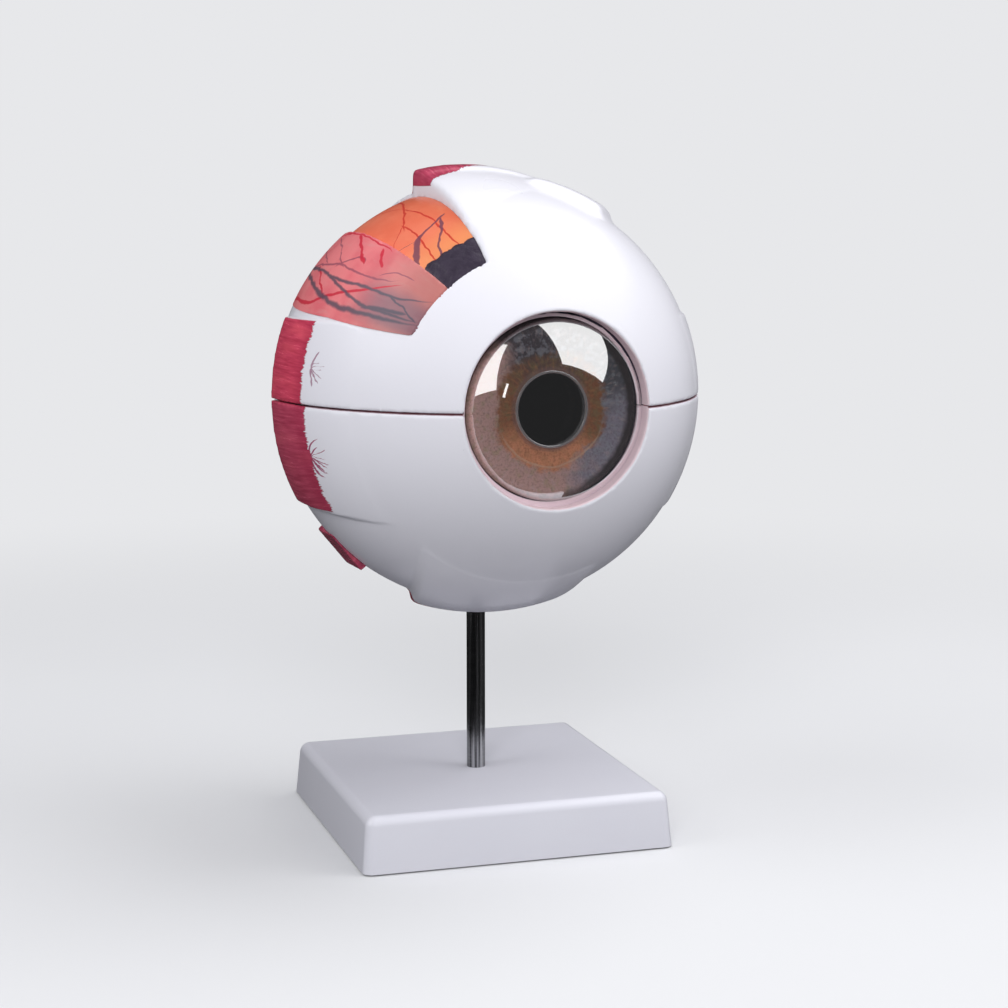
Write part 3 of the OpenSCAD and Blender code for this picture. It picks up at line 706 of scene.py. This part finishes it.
brush_on("inferior_rectus_paint", casting_lower,
         lambda x, ahead, z: z < FOOT_BELOW and proud(x, ahead, z) > STRAP_STEP and ahead < FOOT_FRONT,
         foot_coat, "eyeball_lower", "inferior_rectus")
finish_part(casting_upper, "eyeball_upper", "sclera_white", "sclera_upper", "superior_oblique",
            angle=60)
finish_part(casting_lower, "eyeball_lower", "sclera_white", "sclera_lower", angle=60)

oblique_stub = soften("inferior_oblique_stub", ["inferior_oblique"], STUB_VOXEL, STUB_ROUNDS)
dress(oblique_stub, muscle_paint("crimson_oblique", 0.95, 60, 0.1))
finish_part(oblique_stub, "eyeball_lower", "muscle_red", "inferior_oblique", angle=60)

# ---------------------------------------------------------------- Vessel layer
# The pink layer under the white shell. In the window it is a thick clear-coated
# pad, brushed with sweeping grey-blue and red vessels.


def painted_place(finish):
    """The place vector, then how far ahead in mm and up in degrees with a brush's wobble, and how far out."""
    place = finish.eye_place()
    x, y, z = finish.parts(place)
    up = z.angle(x * -1) * (180 / pi)
    wobble = (finish.grain(place, 0.22, 2) - 0.5) * 1.6
    return place, y * -1 + wobble, up + wobble, (x * x + y * y + z * z) ** 0.5


PAD_FOOT_R, LAYER_ROUNDS, LAYER_SWELL = 64.6, 4, 0.6
PAD_OVERLAP, PAD_REACH, PAD_SKIN = 0.15, 0.9, 0.7

vessel_blue = [
    (1.0, (-28, 37.5), (-5, 36.8), (10, 35.5), (20, 35.4), (30, 36.3), (38, 37.2), (43, 39.2),
     (47.5, 43.0)),
    (1.5, (-28, 38.0), (-5, 33.5), (5, 31.0), (12, 29.4), (20, 28.2), (28, 28.3), (36, 29.2), (42, 30.4),
     (47.5, 32.6)),
    (1.0, (6, 36.0), (12, 35.0), (18, 33.5), (25, 31.8), (32, 31.0), (38, 31.4), (47, 33.5)),
    (1.4, (31, 30.4), (35, 31.6), (39, 32.4), (44, 34.2)),
    (0.7, (37, 37.2), (41, 36.0), (44, 34.6), (47, 33.0)),
]
vessel_plum = [
    (0.65, (-26, 35.0), (-5, 37.9), (5, 38.6), (12, 39.3), (20, 38.9), (27, 39.1), (33, 40.4),
     (36, 42.0)),
    (0.5, (-8, 47.5), (2, 44.6), (6, 42.2), (11, 39.6), (14, 38.6)),
    (0.6, (9, 38.4), (13, 40.6), (16, 42.2), (18.5, 43.3), (22, 41.6)),
    (0.5, (-24, 46.0), (-14, 43.0), (-4, 40.6), (3, 38.6)),
    (0.45, (30, 40.6), (33, 43.2), (36, 44.6), (40, 44.8)),
]
vessel_red = [
    (1.05, (-26, 29.0), (-5, 27.1), (5, 26.9), (12, 29.0), (18, 31.1), (25, 33.6), (30, 36.0), (34, 38.6),
     (38.5, 42.0)),
    (1.1, (7, 49.0), (10, 48.2), (14, 46.0), (18, 43.8), (22, 41.7)),
    (1.4, (23.5, 48.2), (25, 46.6), (27, 44.6), (29, 43.2)),
    (0.7, (-4, 37.5), (0, 36.0), (5, 33.4), (10, 30.8), (13, 29.2)),
    (0.6, (-26, 44.5), (-16, 47.5), (-6, 48.6), (4, 49.2)),
    (0.55, (-24, 31.0), (-16, 35.0), (-8, 41.0), (-2, 46.0)),
    (0.50, (-6, 49.3), (8, 49.4), (20, 49.2), (28, 48.8)),
]
choroid_paint = Finish("lacquered_vessel_layer")
ch_place, ch_ahead, ch_up, ch_out = painted_place(choroid_paint)
ch_cloud = choroid_paint.grain(ch_place, 0.09, 3)
ch_streak = choroid_paint.grain(choroid_paint.point(ch_up * 0.5, ch_ahead * 0.09, 0.0), 1.0, 3, 0.6)
ch_smudge = ch_ahead.rise(22, 38) * (1 - ch_up.rise(36, 43)) * ch_up.rise(25, 30)
ch_deep = choroid_paint.mix(ch_cloud, (0.40, 0.13, 0.16), (0.55, 0.22, 0.25))
ch_colour = choroid_paint.coats(
    (0.78, 0.160, 0.190),
    (ch_cloud.rise(0.35, 0.65), (0.86, 0.235, 0.250)),
    (ch_streak.rise(0.5, 0.8) * 0.45, (0.74, 0.34, 0.33)),
    (ch_ahead.rise(20, 46) * 0.6, (0.36, 0.19, 0.15)),
    (ch_smudge * 0.62, (0.16, 0.12, 0.17)),
    (strokes(ch_ahead, ch_up, vessel_plum, 0.4, 1.6) * 0.75, (0.27, 0.07, 0.12)),
    (strokes(ch_ahead, ch_up, vessel_red) * 0.92, (0.64, 0.02, 0.05)),
    (strokes(ch_ahead, ch_up, vessel_blue, 0.35, 1.5) * 0.88, (0.085, 0.080, 0.115)),
    (1 - ch_out.rise(64.3, PAD_FOOT_R), ch_deep))
choroid_paint.surface(ch_colour, ch_streak * 0.15 + 0.3, ch_streak, 0.0001)


def below_window(x, ahead, z):
    """True for the part of a layer that the white shell covers."""
    return far_out(x, ahead, z) < PAD_FOOT_R


def fill_out(pad, radius, amount):
    """Lets a painted pad swell sideways until it meets the walls of its window, no higher than radius."""
    bpy.ops.object.select_all(action="DESELECT")
    bpy.context.view_layer.objects.active = pad
    bpy.ops.object.mode_set(mode="EDIT")
    choose(pad, "faces", lambda middle, face: not below_window(*in_eye(middle)))
    bpy.ops.transform.shrink_fatten(value=amount * MM)
    bpy.ops.object.mode_set(mode="OBJECT")
    for vertex in pad.data.vertices:
        x, ahead, z = in_eye(vertex.co)
        distance = far_out(x, ahead, z)
        out, way = window_wall(x, ahead, z)
        if distance > PAD_FOOT_R and out > -PAD_REACH:
            top = radius if distance > radius - PAD_SKIN else distance
            vertex.co = settled(x, ahead, z, top, PAD_OVERLAP)
        elif distance > radius:
            vertex.co = EYE_CENTRE + (vertex.co - EYE_CENTRE) * (radius / distance)


choroid_pad = soften("vessel_layer_upper", ["choroid_upper"], CASTING_VOXEL, LAYER_ROUNDS,
                     hidden=below_window)
fill_out(choroid_pad, BALL_R + 0.2, LAYER_SWELL)
dress(choroid_pad, choroid_paint.material)
finish_part(choroid_pad, "eyeball_upper", "choroid_pink", "choroid_upper", angle=60)
dress(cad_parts["choroid_lower"], choroid_paint.material)

# ---------------------------------------------------------------- Retina
# The orange inner layer, lighter in the middle of its pad, with thin red and
# purple vessels brushed on under clear lacquer.

RETINA_COVERED_R = 62.6

retina_red = [
    (0.75, (-26, 66.0), (-8, 66.0), (2, 64.8), (8, 62.9), (14, 60.3), (19.5, 57.5), (22, 56.0)),
    (0.6, (17.5, 57.6), (22, 57.8), (27, 57.5), (33, 56.2), (40, 55.0)),
    (0.4, (18.5, 58.0), (20.5, 55.6), (22.5, 53.0), (25.5, 49.0)),
    (0.6, (6.5, 62.8), (12, 63.3), (18, 64.2), (23, 64.7), (29, 64.4), (34, 64.2), (40, 65.6)),
    (0.45, (-26, 55.0), (-10, 58.0), (0, 60.5), (7, 63.2)),
]
retina_purple = [
    (2.6, (23.6, 69.0), (25, 66.4), (26.6, 62.0), (28, 57.4), (31, 54.4), (36.5, 49.4)),
    (1.0, (24.6, 67.2), (28, 65.4), (31, 63.2), (35, 59.6), (40, 56.4)),
    (0.6, (26.6, 48.6), (27.5, 52.0), (28.3, 55.0), (28.6, 58.0)),
]
retina_paint = Finish("lacquered_retina")
re_place, re_ahead, re_up, re_out = painted_place(retina_paint)
re_cloud = retina_paint.grain(re_place, 0.07, 3)
re_wash = retina_paint.grain(retina_paint.point(re_up * 0.3, re_ahead * 0.12, 5.0), 1.0, 3)
re_scallop = abs(retina_paint.node("ShaderNodeMath", {"operation": "SINE"}, {0: re_up * 0.62}))
re_dark = (re_ahead + re_scallop * 0.9).rise(38.3, 38.6) * re_out.rise(64.0, 64.3)
re_web = retina_paint.node("ShaderNodeTexVoronoi", {"feature": "DISTANCE_TO_EDGE"},
                           {"Vector": re_place, "Scale": 0.045, "Randomness": 1.0})
re_inside = 1 - re_out.rise(61.2, 61.6)
re_colour = retina_paint.coats(
    (0.81, 0.160, 0.085),
    (re_cloud.rise(0.3, 0.7), (0.87, 0.225, 0.130)),
    (re_up.rise(58, 70) * 0.5, (0.70, 0.13, 0.05)),
    (re_ahead.rise(27, 38) * 0.55, (0.86, 0.36, 0.13)),
    (re_wash.rise(0.55, 0.85) * 0.4, (0.88, 0.36, 0.19)),
    (strokes(re_ahead, re_up, retina_red) * 0.9, (0.60, 0.035, 0.025)),
    (strokes(re_ahead, re_up, retina_purple) * 0.9, (0.17, 0.06, 0.10)),
    (re_dark, (0.030, 0.022, 0.040)),
    ((1 - re_web.rise(0.008, 0.02)) * re_inside * 0.7, (0.50, 0.06, 0.04)))
retina_paint.surface(re_colour, re_wash * 0.12 + 0.26, re_wash, 0.0001)


def covered_retina(x, ahead, z):
    """True for the part of the retina that lies under the vessel layer."""
    return far_out(x, ahead, z) < RETINA_COVERED_R


retina_pad = soften("retina_layer_upper", ["retina_upper"], CASTING_VOXEL, LAYER_ROUNDS,
                    hidden=covered_retina)
fill_out(retina_pad, BALL_R - 1.1, LAYER_SWELL)
dress(retina_pad, retina_paint.material)
finish_part(retina_pad, "eyeball_upper", "retina_orange", "retina_upper", angle=60)
dress(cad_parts["retina_lower"], retina_paint.material)

# ---------------------------------------------------------------- Ciliary ring
# The dark ring that carries the iris and closes the retina's front edge. Its
# patch in the window is laid on thickly, with a scalloped rear edge.

PATCH_VOXEL, PATCH_SWELL = 0.55, 0.45

ciliary_paint = Finish("thick_dark_paint")
ci_place = ciliary_paint.eye_place()
ci_lumps = ciliary_paint.grain(ci_place, 0.35, 3)
ciliary_paint.surface(ciliary_paint.mix(ci_lumps, (0.022, 0.016, 0.030), (0.060, 0.045, 0.075)),
                      ci_lumps * 0.2 + 0.3, ci_lumps, 0.0005)
ciliary_patch = soften("ciliary_ring_upper", ["ciliary_body_upper"], PATCH_VOXEL, LAYER_ROUNDS)
fill_out(ciliary_patch, BALL_R - 0.7, PATCH_SWELL)
dress(ciliary_patch, ciliary_paint.material)
finish_part(ciliary_patch, "eyeball_upper", "ciliary_dark", "ciliary_body_upper", angle=60)
dress(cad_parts["ciliary_body_lower"], ciliary_paint.material)

# ---------------------------------------------------------------- Opening's lining
# The pink lacquer on the wall of the front opening, in two halves that part
# with the ball.

LINING_THICK, LINING_BACK, LINING_BEVEL, LINING_BITE = 0.12, 0.9, 0.3, 0.1
SEAT_AHEAD, SEAT_HOLE_R, SEAT_R, SEAT_THICK = 54.22, 27.25, OPENING_R - 0.05, 0.1
SEAM_TURN, HALF_STEPS = radians(0.35), 80


def turned(name, profile, steps=160, sweep_angle=2 * pi, start=0.0):
    """Spins a profile of (radius, distance ahead) in mm round the optical axis."""
    part = add_part(name, bpy.ops.mesh.primitive_plane_add, size=MM)
    bpy.ops.object.mode_set(mode="EDIT")
    bpy.context.tool_settings.mesh_select_mode = (True, False, False)
    bpy.ops.mesh.select_all(action="SELECT")
    bpy.ops.mesh.merge(type="CENTER")
    turn = Matrix.Rotation(start, 3, "Z")
    here = turn @ Vector((profile[0][0], 0, profile[0][1])) * MM
    bpy.ops.transform.translate(value=here)
    for radius, ahead in profile[1:]:
        there = turn @ Vector((radius, 0, ahead)) * MM
        bpy.ops.mesh.extrude_vertices_move(TRANSFORM_OT_translate={"value": there - here})
        here = there
    bpy.ops.mesh.select_all(action="SELECT")
    bpy.ops.mesh.spin(steps=steps, angle=sweep_angle, center=(0, 0, 0), axis=(0, 0, 1))
    bpy.ops.mesh.select_all(action="SELECT")
    bpy.ops.mesh.remove_doubles(threshold=0.002 * MM)
    bpy.ops.mesh.normals_make_consistent(inside=False)
    bpy.ops.object.mode_set(mode="OBJECT")
    part.matrix_world = EYE_MATRIX
    return part


lining_paint = Finish("pink_lacquer")
li_place = lining_paint.eye_place()
li_tone = lining_paint.grain(li_place, 0.2, 3)
lining_paint.surface(lining_paint.mix(li_tone, (0.89, 0.69, 0.75), (0.94, 0.77, 0.82)),
                     li_tone * 0.1 + 0.25)
lining_front = sqrt(BALL_R ** 2 - OPENING_R ** 2) - LINING_BACK
lining_r = OPENING_R - LINING_THICK
seat_top = SEAT_AHEAD + SEAT_THICK
lining_profile = [
    (lining_r, seat_top), (lining_r, lining_front - LINING_BEVEL), (OPENING_R - 0.03, lining_front),
    (OPENING_R + LINING_BITE, lining_front), (OPENING_R + LINING_BITE, seat_top), (lining_r, seat_top)]
seat_profile = [
    (SEAT_HOLE_R, SEAT_AHEAD), (SEAT_HOLE_R, seat_top), (SEAT_R, seat_top), (SEAT_R, SEAT_AHEAD),
    (SEAT_HOLE_R, SEAT_AHEAD)]
for half, begin in (("lower", SEAM_TURN), ("upper", pi + SEAM_TURN)):
    for lacquered, profile in (("opening_lining_", lining_profile), ("opening_seat_", seat_profile)):
        half_ring = turned(lacquered + half, profile, HALF_STEPS, pi - 2 * SEAM_TURN, begin)
        dress(half_ring, lining_paint.material)
        finish_part(half_ring, "eyeball_" + half, "choroid_pink", angle=40)

# ---------------------------------------------------------------- Nerve
# The cut optic nerve in its white sheath, moulded in cream and off-white
# plastic and glued in on the nose side behind the ball.

nerve_paint = Finish("cream_nerve")
nerve_grain = nerve_paint.grain(nerve_paint.place(), 1.2, 4)
nerve_paint.surface(nerve_paint.mix(nerve_grain, (0.72, 0.56, 0.22), (0.86, 0.72, 0.36)),
                    nerve_grain * 0.1 + 0.28, nerve_grain, 0.0002)
sheath_paint = Finish("off_white_sheath")
sheath_grain = sheath_paint.grain(sheath_paint.place(), 0.6, 3)
sheath_paint.surface(sheath_paint.mix(sheath_grain, (0.74, 0.71, 0.66), (0.82, 0.79, 0.75)), 0.28,
                     sheath_grain, 0.0001)
dress(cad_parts["optic_nerve"], nerve_paint.material)
dress(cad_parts["nerve_sheath"], sheath_paint.material)

# ---------------------------------------------------------------- Clear pieces
# The two shells of the hollow vitreous body and the lens that stands in its
# dish, moulded in clear plastic and polished. The lens is faintly grey, and its
# rear is painted near black as painted shade of the eye's dark inside.


def clear_plastic(name, tint, haze, gloss=0.05, dim_below=None, shade_behind=None, dull_behind=None):
    """Clear polished plastic: it lets light straight through and shines at its skin.
    Nearer than dim_below = (centre ahead, radius) in mm the shine is faint, and
    behind dull_behind it is gone. Behind the depth given for painted shade the
    plastic is nearly black, standing in for the dark inside of the eye."""
    finish = Finish(name)
    place = finish.eye_place()
    speck = finish.grain(place, 0.12, 3)
    shine = finish.node("ShaderNodeBsdfGlossy", {}, {"Color": (1, 1, 1), "Roughness": speck * 0.02 + 0.01})
    slant = finish.node("ShaderNodeLayerWeight", {}, {"Blend": 0.5}, out=1)
    share = slant ** 5 * (0.8 - gloss) + gloss
    x, y, z = finish.parts(place)
    if dim_below:
        away = (x * x + (y + dim_below[0]) * (y + dim_below[0]) + z * z) ** 0.5
        share = share * (away.rise(dim_below[1] - 0.2, dim_below[1] + 0.2) * 0.96 + 0.04)
    if dull_behind:
        share = share * (y * -1).rise(dull_behind - 0.6, dull_behind + 0.6)
    if shade_behind:
        # Painted shade: behind this depth the plastic turns nearly black, standing in for the dark inside of
        # the eye.
        tone = finish.mix((y * -1).rise(shade_behind - 0.2, shade_behind + 0.2), (0.02, 0.018, 0.02), tint)
    else:
        tone = finish.mix(speck, tint, [part * haze for part in tint])
    through = finish.node("ShaderNodeBsdfTransparent", {}, {"Color": tone})
    both = finish.node("ShaderNodeMixShader", {}, {0: share, 1: through, 2: shine})
    finish.node("ShaderNodeOutputMaterial", {}, {"Surface": both})
    return finish.material


clear_vitreous = clear_plastic("clear_vitreous", (0.90, 0.92, 0.94), 0.97)
for shell in ("vitreous_front", "vitreous_rear"):
    dress(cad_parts[shell], clear_vitreous)

LENS_R, LENS_SEAT_R, LENS_EDGE, LENS_FRONT_R, LENS_REAR_R, LENS_SHADE_FROM = 22.5, 21, 1.2, 46, 28, 44.62
IRIS_SEAT, LENS_GAP, LENS_STEPS = 52.40, 0.7, 24


def arc(radius, centre, start, end, count):
    """Points (off the axis, ahead) on a circle whose centre lies on the axis."""
    angles = [start + (end - start) * i / count for i in range(count + 1)]
    return [(radius * sin(angle), centre + radius * cos(angle)) for angle in angles]


def angle_at(radius, off_axis):
    return atan2(off_axis, sqrt(radius * radius - off_axis * off_axis))


lens_front_centre = IRIS_SEAT - LENS_GAP - LENS_FRONT_R
lens_seat = lens_front_centre + sqrt(LENS_FRONT_R ** 2 - LENS_R ** 2) - LENS_EDGE
lens_rear_centre = lens_seat + sqrt(LENS_REAR_R ** 2 - LENS_SEAT_R ** 2)
lens_profile = (arc(LENS_FRONT_R, lens_front_centre, 0, angle_at(LENS_FRONT_R, LENS_R), LENS_STEPS)
                + [(LENS_R, lens_seat), (LENS_SEAT_R, lens_seat)]
                + arc(-LENS_REAR_R, lens_rear_centre, -angle_at(LENS_REAR_R, LENS_SEAT_R), 0, LENS_STEPS)[1:])
crystal_lens = turned("crystal_lens", lens_profile)
dress(crystal_lens, clear_plastic("lens_with_painted_shade", (0.80, 0.79, 0.82), 0.95, 0.02, shade_behind=LENS_SHADE_FROM))
finish_part(crystal_lens, "lens_body", "lens_clear", "lens")

# ---------------------------------------------------------------- Iris
# A thin painted disc that stands on a step in the opening: brown and orange
# round the pupil, blue-grey and flesh-toned outside, dark at its edge, with a
# bright raised ring glued in at the pupil. Its top is painted darker and its dark
# edge wider towards the top right, as painted shade of the opening's rim; its
# lower left is lighter and warmer, its own paint with painted light laid in.

IRIS_R, PUPIL_R, COLLAR_R = 26.9, 11.45, 16.9

iris_paint = Finish("painted_iris")
ir_place = iris_paint.eye_place()
ir_x, ir_y, ir_z = iris_paint.parts(ir_place)
ir_r = (ir_x * ir_x + ir_z * ir_z) ** 0.5
ir_right, ir_high = ir_x / ir_r, ir_z / ir_r
fibres = iris_paint.grain(iris_paint.point(ir_right * 11, ir_high * 11, ir_r * 0.22), 1.6, 4, 0.65)
speckle = iris_paint.grain(ir_place, 1.3, 4, 0.7)
blots = iris_paint.grain(ir_place, 0.45, 3, 0.6)
patches = iris_paint.grain(ir_place, 0.12, 3)
drift = (patches - 0.5) * 1.1
# Partly painted light: the lower left is lighter and warmer, the iris's own tan paint with painted light laid
# in.
west_tan_and_light = (ir_right * -0.84 - ir_high * 0.54 + drift).rise(-0.10, 0.42)
south_east = (ir_right * 0.60 - ir_high * 0.80 + drift).rise(0.30, 0.80)
# Painted shade: the top of the outer zone is darkened where the opening's rim shades the iris.
north_painted_shade = (ir_high * 0.92 - ir_right * 0.30 + drift).rise(0.35, 0.80)
# Partly painted light: the bottom of the inner zone is a lighter orange, its own paint with painted light
# laid in.
south_orange_and_light = (ir_high * -0.98 - ir_right * 0.15 + drift * 0.5).rise(0.20, 0.85)
# Painted shade: the top of the inner zone is darkened the same way.
top_painted_shade = (ir_high + drift * 0.5).rise(0.40, 0.85)
outer = iris_paint.coats(
    (0.120, 0.125, 0.145),
    (south_east, (0.34, 0.31, 0.385)),
    (north_painted_shade, (0.085, 0.070, 0.085)),
    (west_tan_and_light, (0.75, 0.45, 0.40)),
    (blots.rise(0.48, 0.62) * (1 - west_tan_and_light) * 0.6, (0.36, 0.37, 0.42)),
    (blots.rise(0.50, 0.66) * west_tan_and_light * 0.5, (0.50, 0.40, 0.22)),
    (speckle.rise(0.46, 0.66) * 0.42, (0.095, 0.065, 0.075)),
    (fibres.rise(0.52, 0.66) * 0.3, (0.72, 0.55, 0.54)))
inner = iris_paint.coats(
    (0.36, 0.130, 0.055),
    (south_orange_and_light, (0.92, 0.36, 0.185)),
    (top_painted_shade, (0.17, 0.095, 0.080)),
    (blots.rise(0.38, 0.68) * (1 - south_orange_and_light * 0.65) * 0.7, (0.27, 0.20, 0.085)),
    (fibres.rise(0.48, 0.66) * 0.42, (0.62, 0.25, 0.10)),
    (speckle.rise(0.48, 0.68) * 0.4, (0.09, 0.035, 0.022)))
zone = (ir_r + (patches - 0.5) * 7.0 + (blots - 0.5) * 5.0 - west_tan_and_light * 0.8).rise(15.6, 18.2)
ring = 1 - abs(ir_r + (patches - 0.5) * 1.5 - COLLAR_R).rise(0.10, 0.45)
# Painted shade: the iris's own dark edge is widened towards the top right, where the opening's rim shades it.
rim_shade_side = (ir_right * 0.86 + ir_high * 0.50).rise(-0.75, 0.35)
limbus_and_rim_shade = (ir_r + rim_shade_side * 1.3 + (blots - 0.5) * 1.6).rise(24.6, 26.6)
ir_colour = iris_paint.coats(
    inner,
    (zone, outer),
    (ring * 0.5 * (1 - ir_high.rise(-0.75, -0.2)), (0.90, 0.62, 0.42)),
    (limbus_and_rim_shade * (rim_shade_side * 0.40 + 0.55), (0.032, 0.020, 0.022)),
    ((1 - ir_r.rise(11.8, 13.0)) * 0.5, (0.34, 0.20, 0.18)))
iris_paint.surface(ir_colour, 0.3 + fibres * 0.15, fibres + speckle * 0.4, 0.00025,
                   **{"Coat Weight": 0.3, "Coat Roughness": 0.1})

iris_disc = turned("iris_disc", [
    (radius, IRIS_SEAT + height) for radius, height in (
        (PUPIL_R, 0), (IRIS_R, 0), (IRIS_R, 1.15), (IRIS_R - 0.25, 1.4), (22.0, 1.37), (17.6, 1.38),
        (17.0, 1.5), (16.3, 1.5), (15.6, 1.3), (12.6, 1.28), (PUPIL_R, 1.35), (PUPIL_R, 0))])
dress(iris_disc, iris_paint.material)
finish_part(iris_disc, "iris_body", "iris_paint", "iris")

RING_R, RING_THICK, RING_TOP = 11.05, 0.45, 1.85

ring_clear = Finish("clear_pupil_ring")
rg_place = ring_clear.eye_place()
rg_tone = ring_clear.grain(rg_place, 0.5, 3)
ring_clear.surface(
    ring_clear.mix(rg_tone, (0.78, 0.75, 0.76), (0.88, 0.85, 0.86)), rg_tone * 0.06 + 0.05,
    **{"Metallic": 0.7, "Coat Weight": 1.0, "Coat Roughness": 0.03})
ring_crown = [(RING_R + RING_THICK * cos(step * pi / 12), RING_TOP + RING_THICK * sin(step * pi / 12))
              for step in range(13)]
pupil_ring = turned("pupil_ring", [
    (radius, IRIS_SEAT + height) for radius, height in (
        (RING_R - RING_THICK, 0.02), (RING_R + 0.37, 0.02), (RING_R + RING_THICK, 1.5),
        (RING_R + RING_THICK, 1.8), *ring_crown, (RING_R - RING_THICK, 1.5), (RING_R - RING_THICK, 0.02))])
dress(pupil_ring, ring_clear.material)
finish_part(pupil_ring, "iris_body", "lens_clear")

# ---------------------------------------------------------------- Cornea
# A clear moulded dome, polished, with a short straight skirt that is set into
# the opening and rests on the opening's step.

CORNEA_SEAT, SKIRT_HEIGHT, CORNEA_R, CORNEA_WALL, SKIRT_R = 54.26, 1.34, 32, 1.5, 28.6
dome_foot = CORNEA_SEAT + SKIRT_HEIGHT
dome_centre = dome_foot - sqrt(CORNEA_R ** 2 - SKIRT_R ** 2)
inner_r = CORNEA_R - CORNEA_WALL
inner_foot = sqrt(inner_r ** 2 - (CORNEA_SEAT - dome_centre) ** 2)
skirt_edge, dome_steps = 0.2, 44
cornea_profile = ([(inner_foot, CORNEA_SEAT), (SKIRT_R - skirt_edge, CORNEA_SEAT),
                   (SKIRT_R, CORNEA_SEAT + skirt_edge)]
                  + arc(CORNEA_R, dome_centre, angle_at(CORNEA_R, SKIRT_R), 0, dome_steps)
                  + arc(inner_r, dome_centre, 0, atan2(inner_foot, CORNEA_SEAT - dome_centre), dome_steps))
cornea = turned("cornea_dome", cornea_profile)
dress(cornea, clear_plastic("clear_cornea", (0.97, 0.975, 0.98), 0.99, 0.39,
                            dim_below=(dome_centre, CORNEA_R - CORNEA_WALL / 2), dull_behind=58.8))
finish_part(cornea, "cornea_body", "cornea_clear", "cornea")
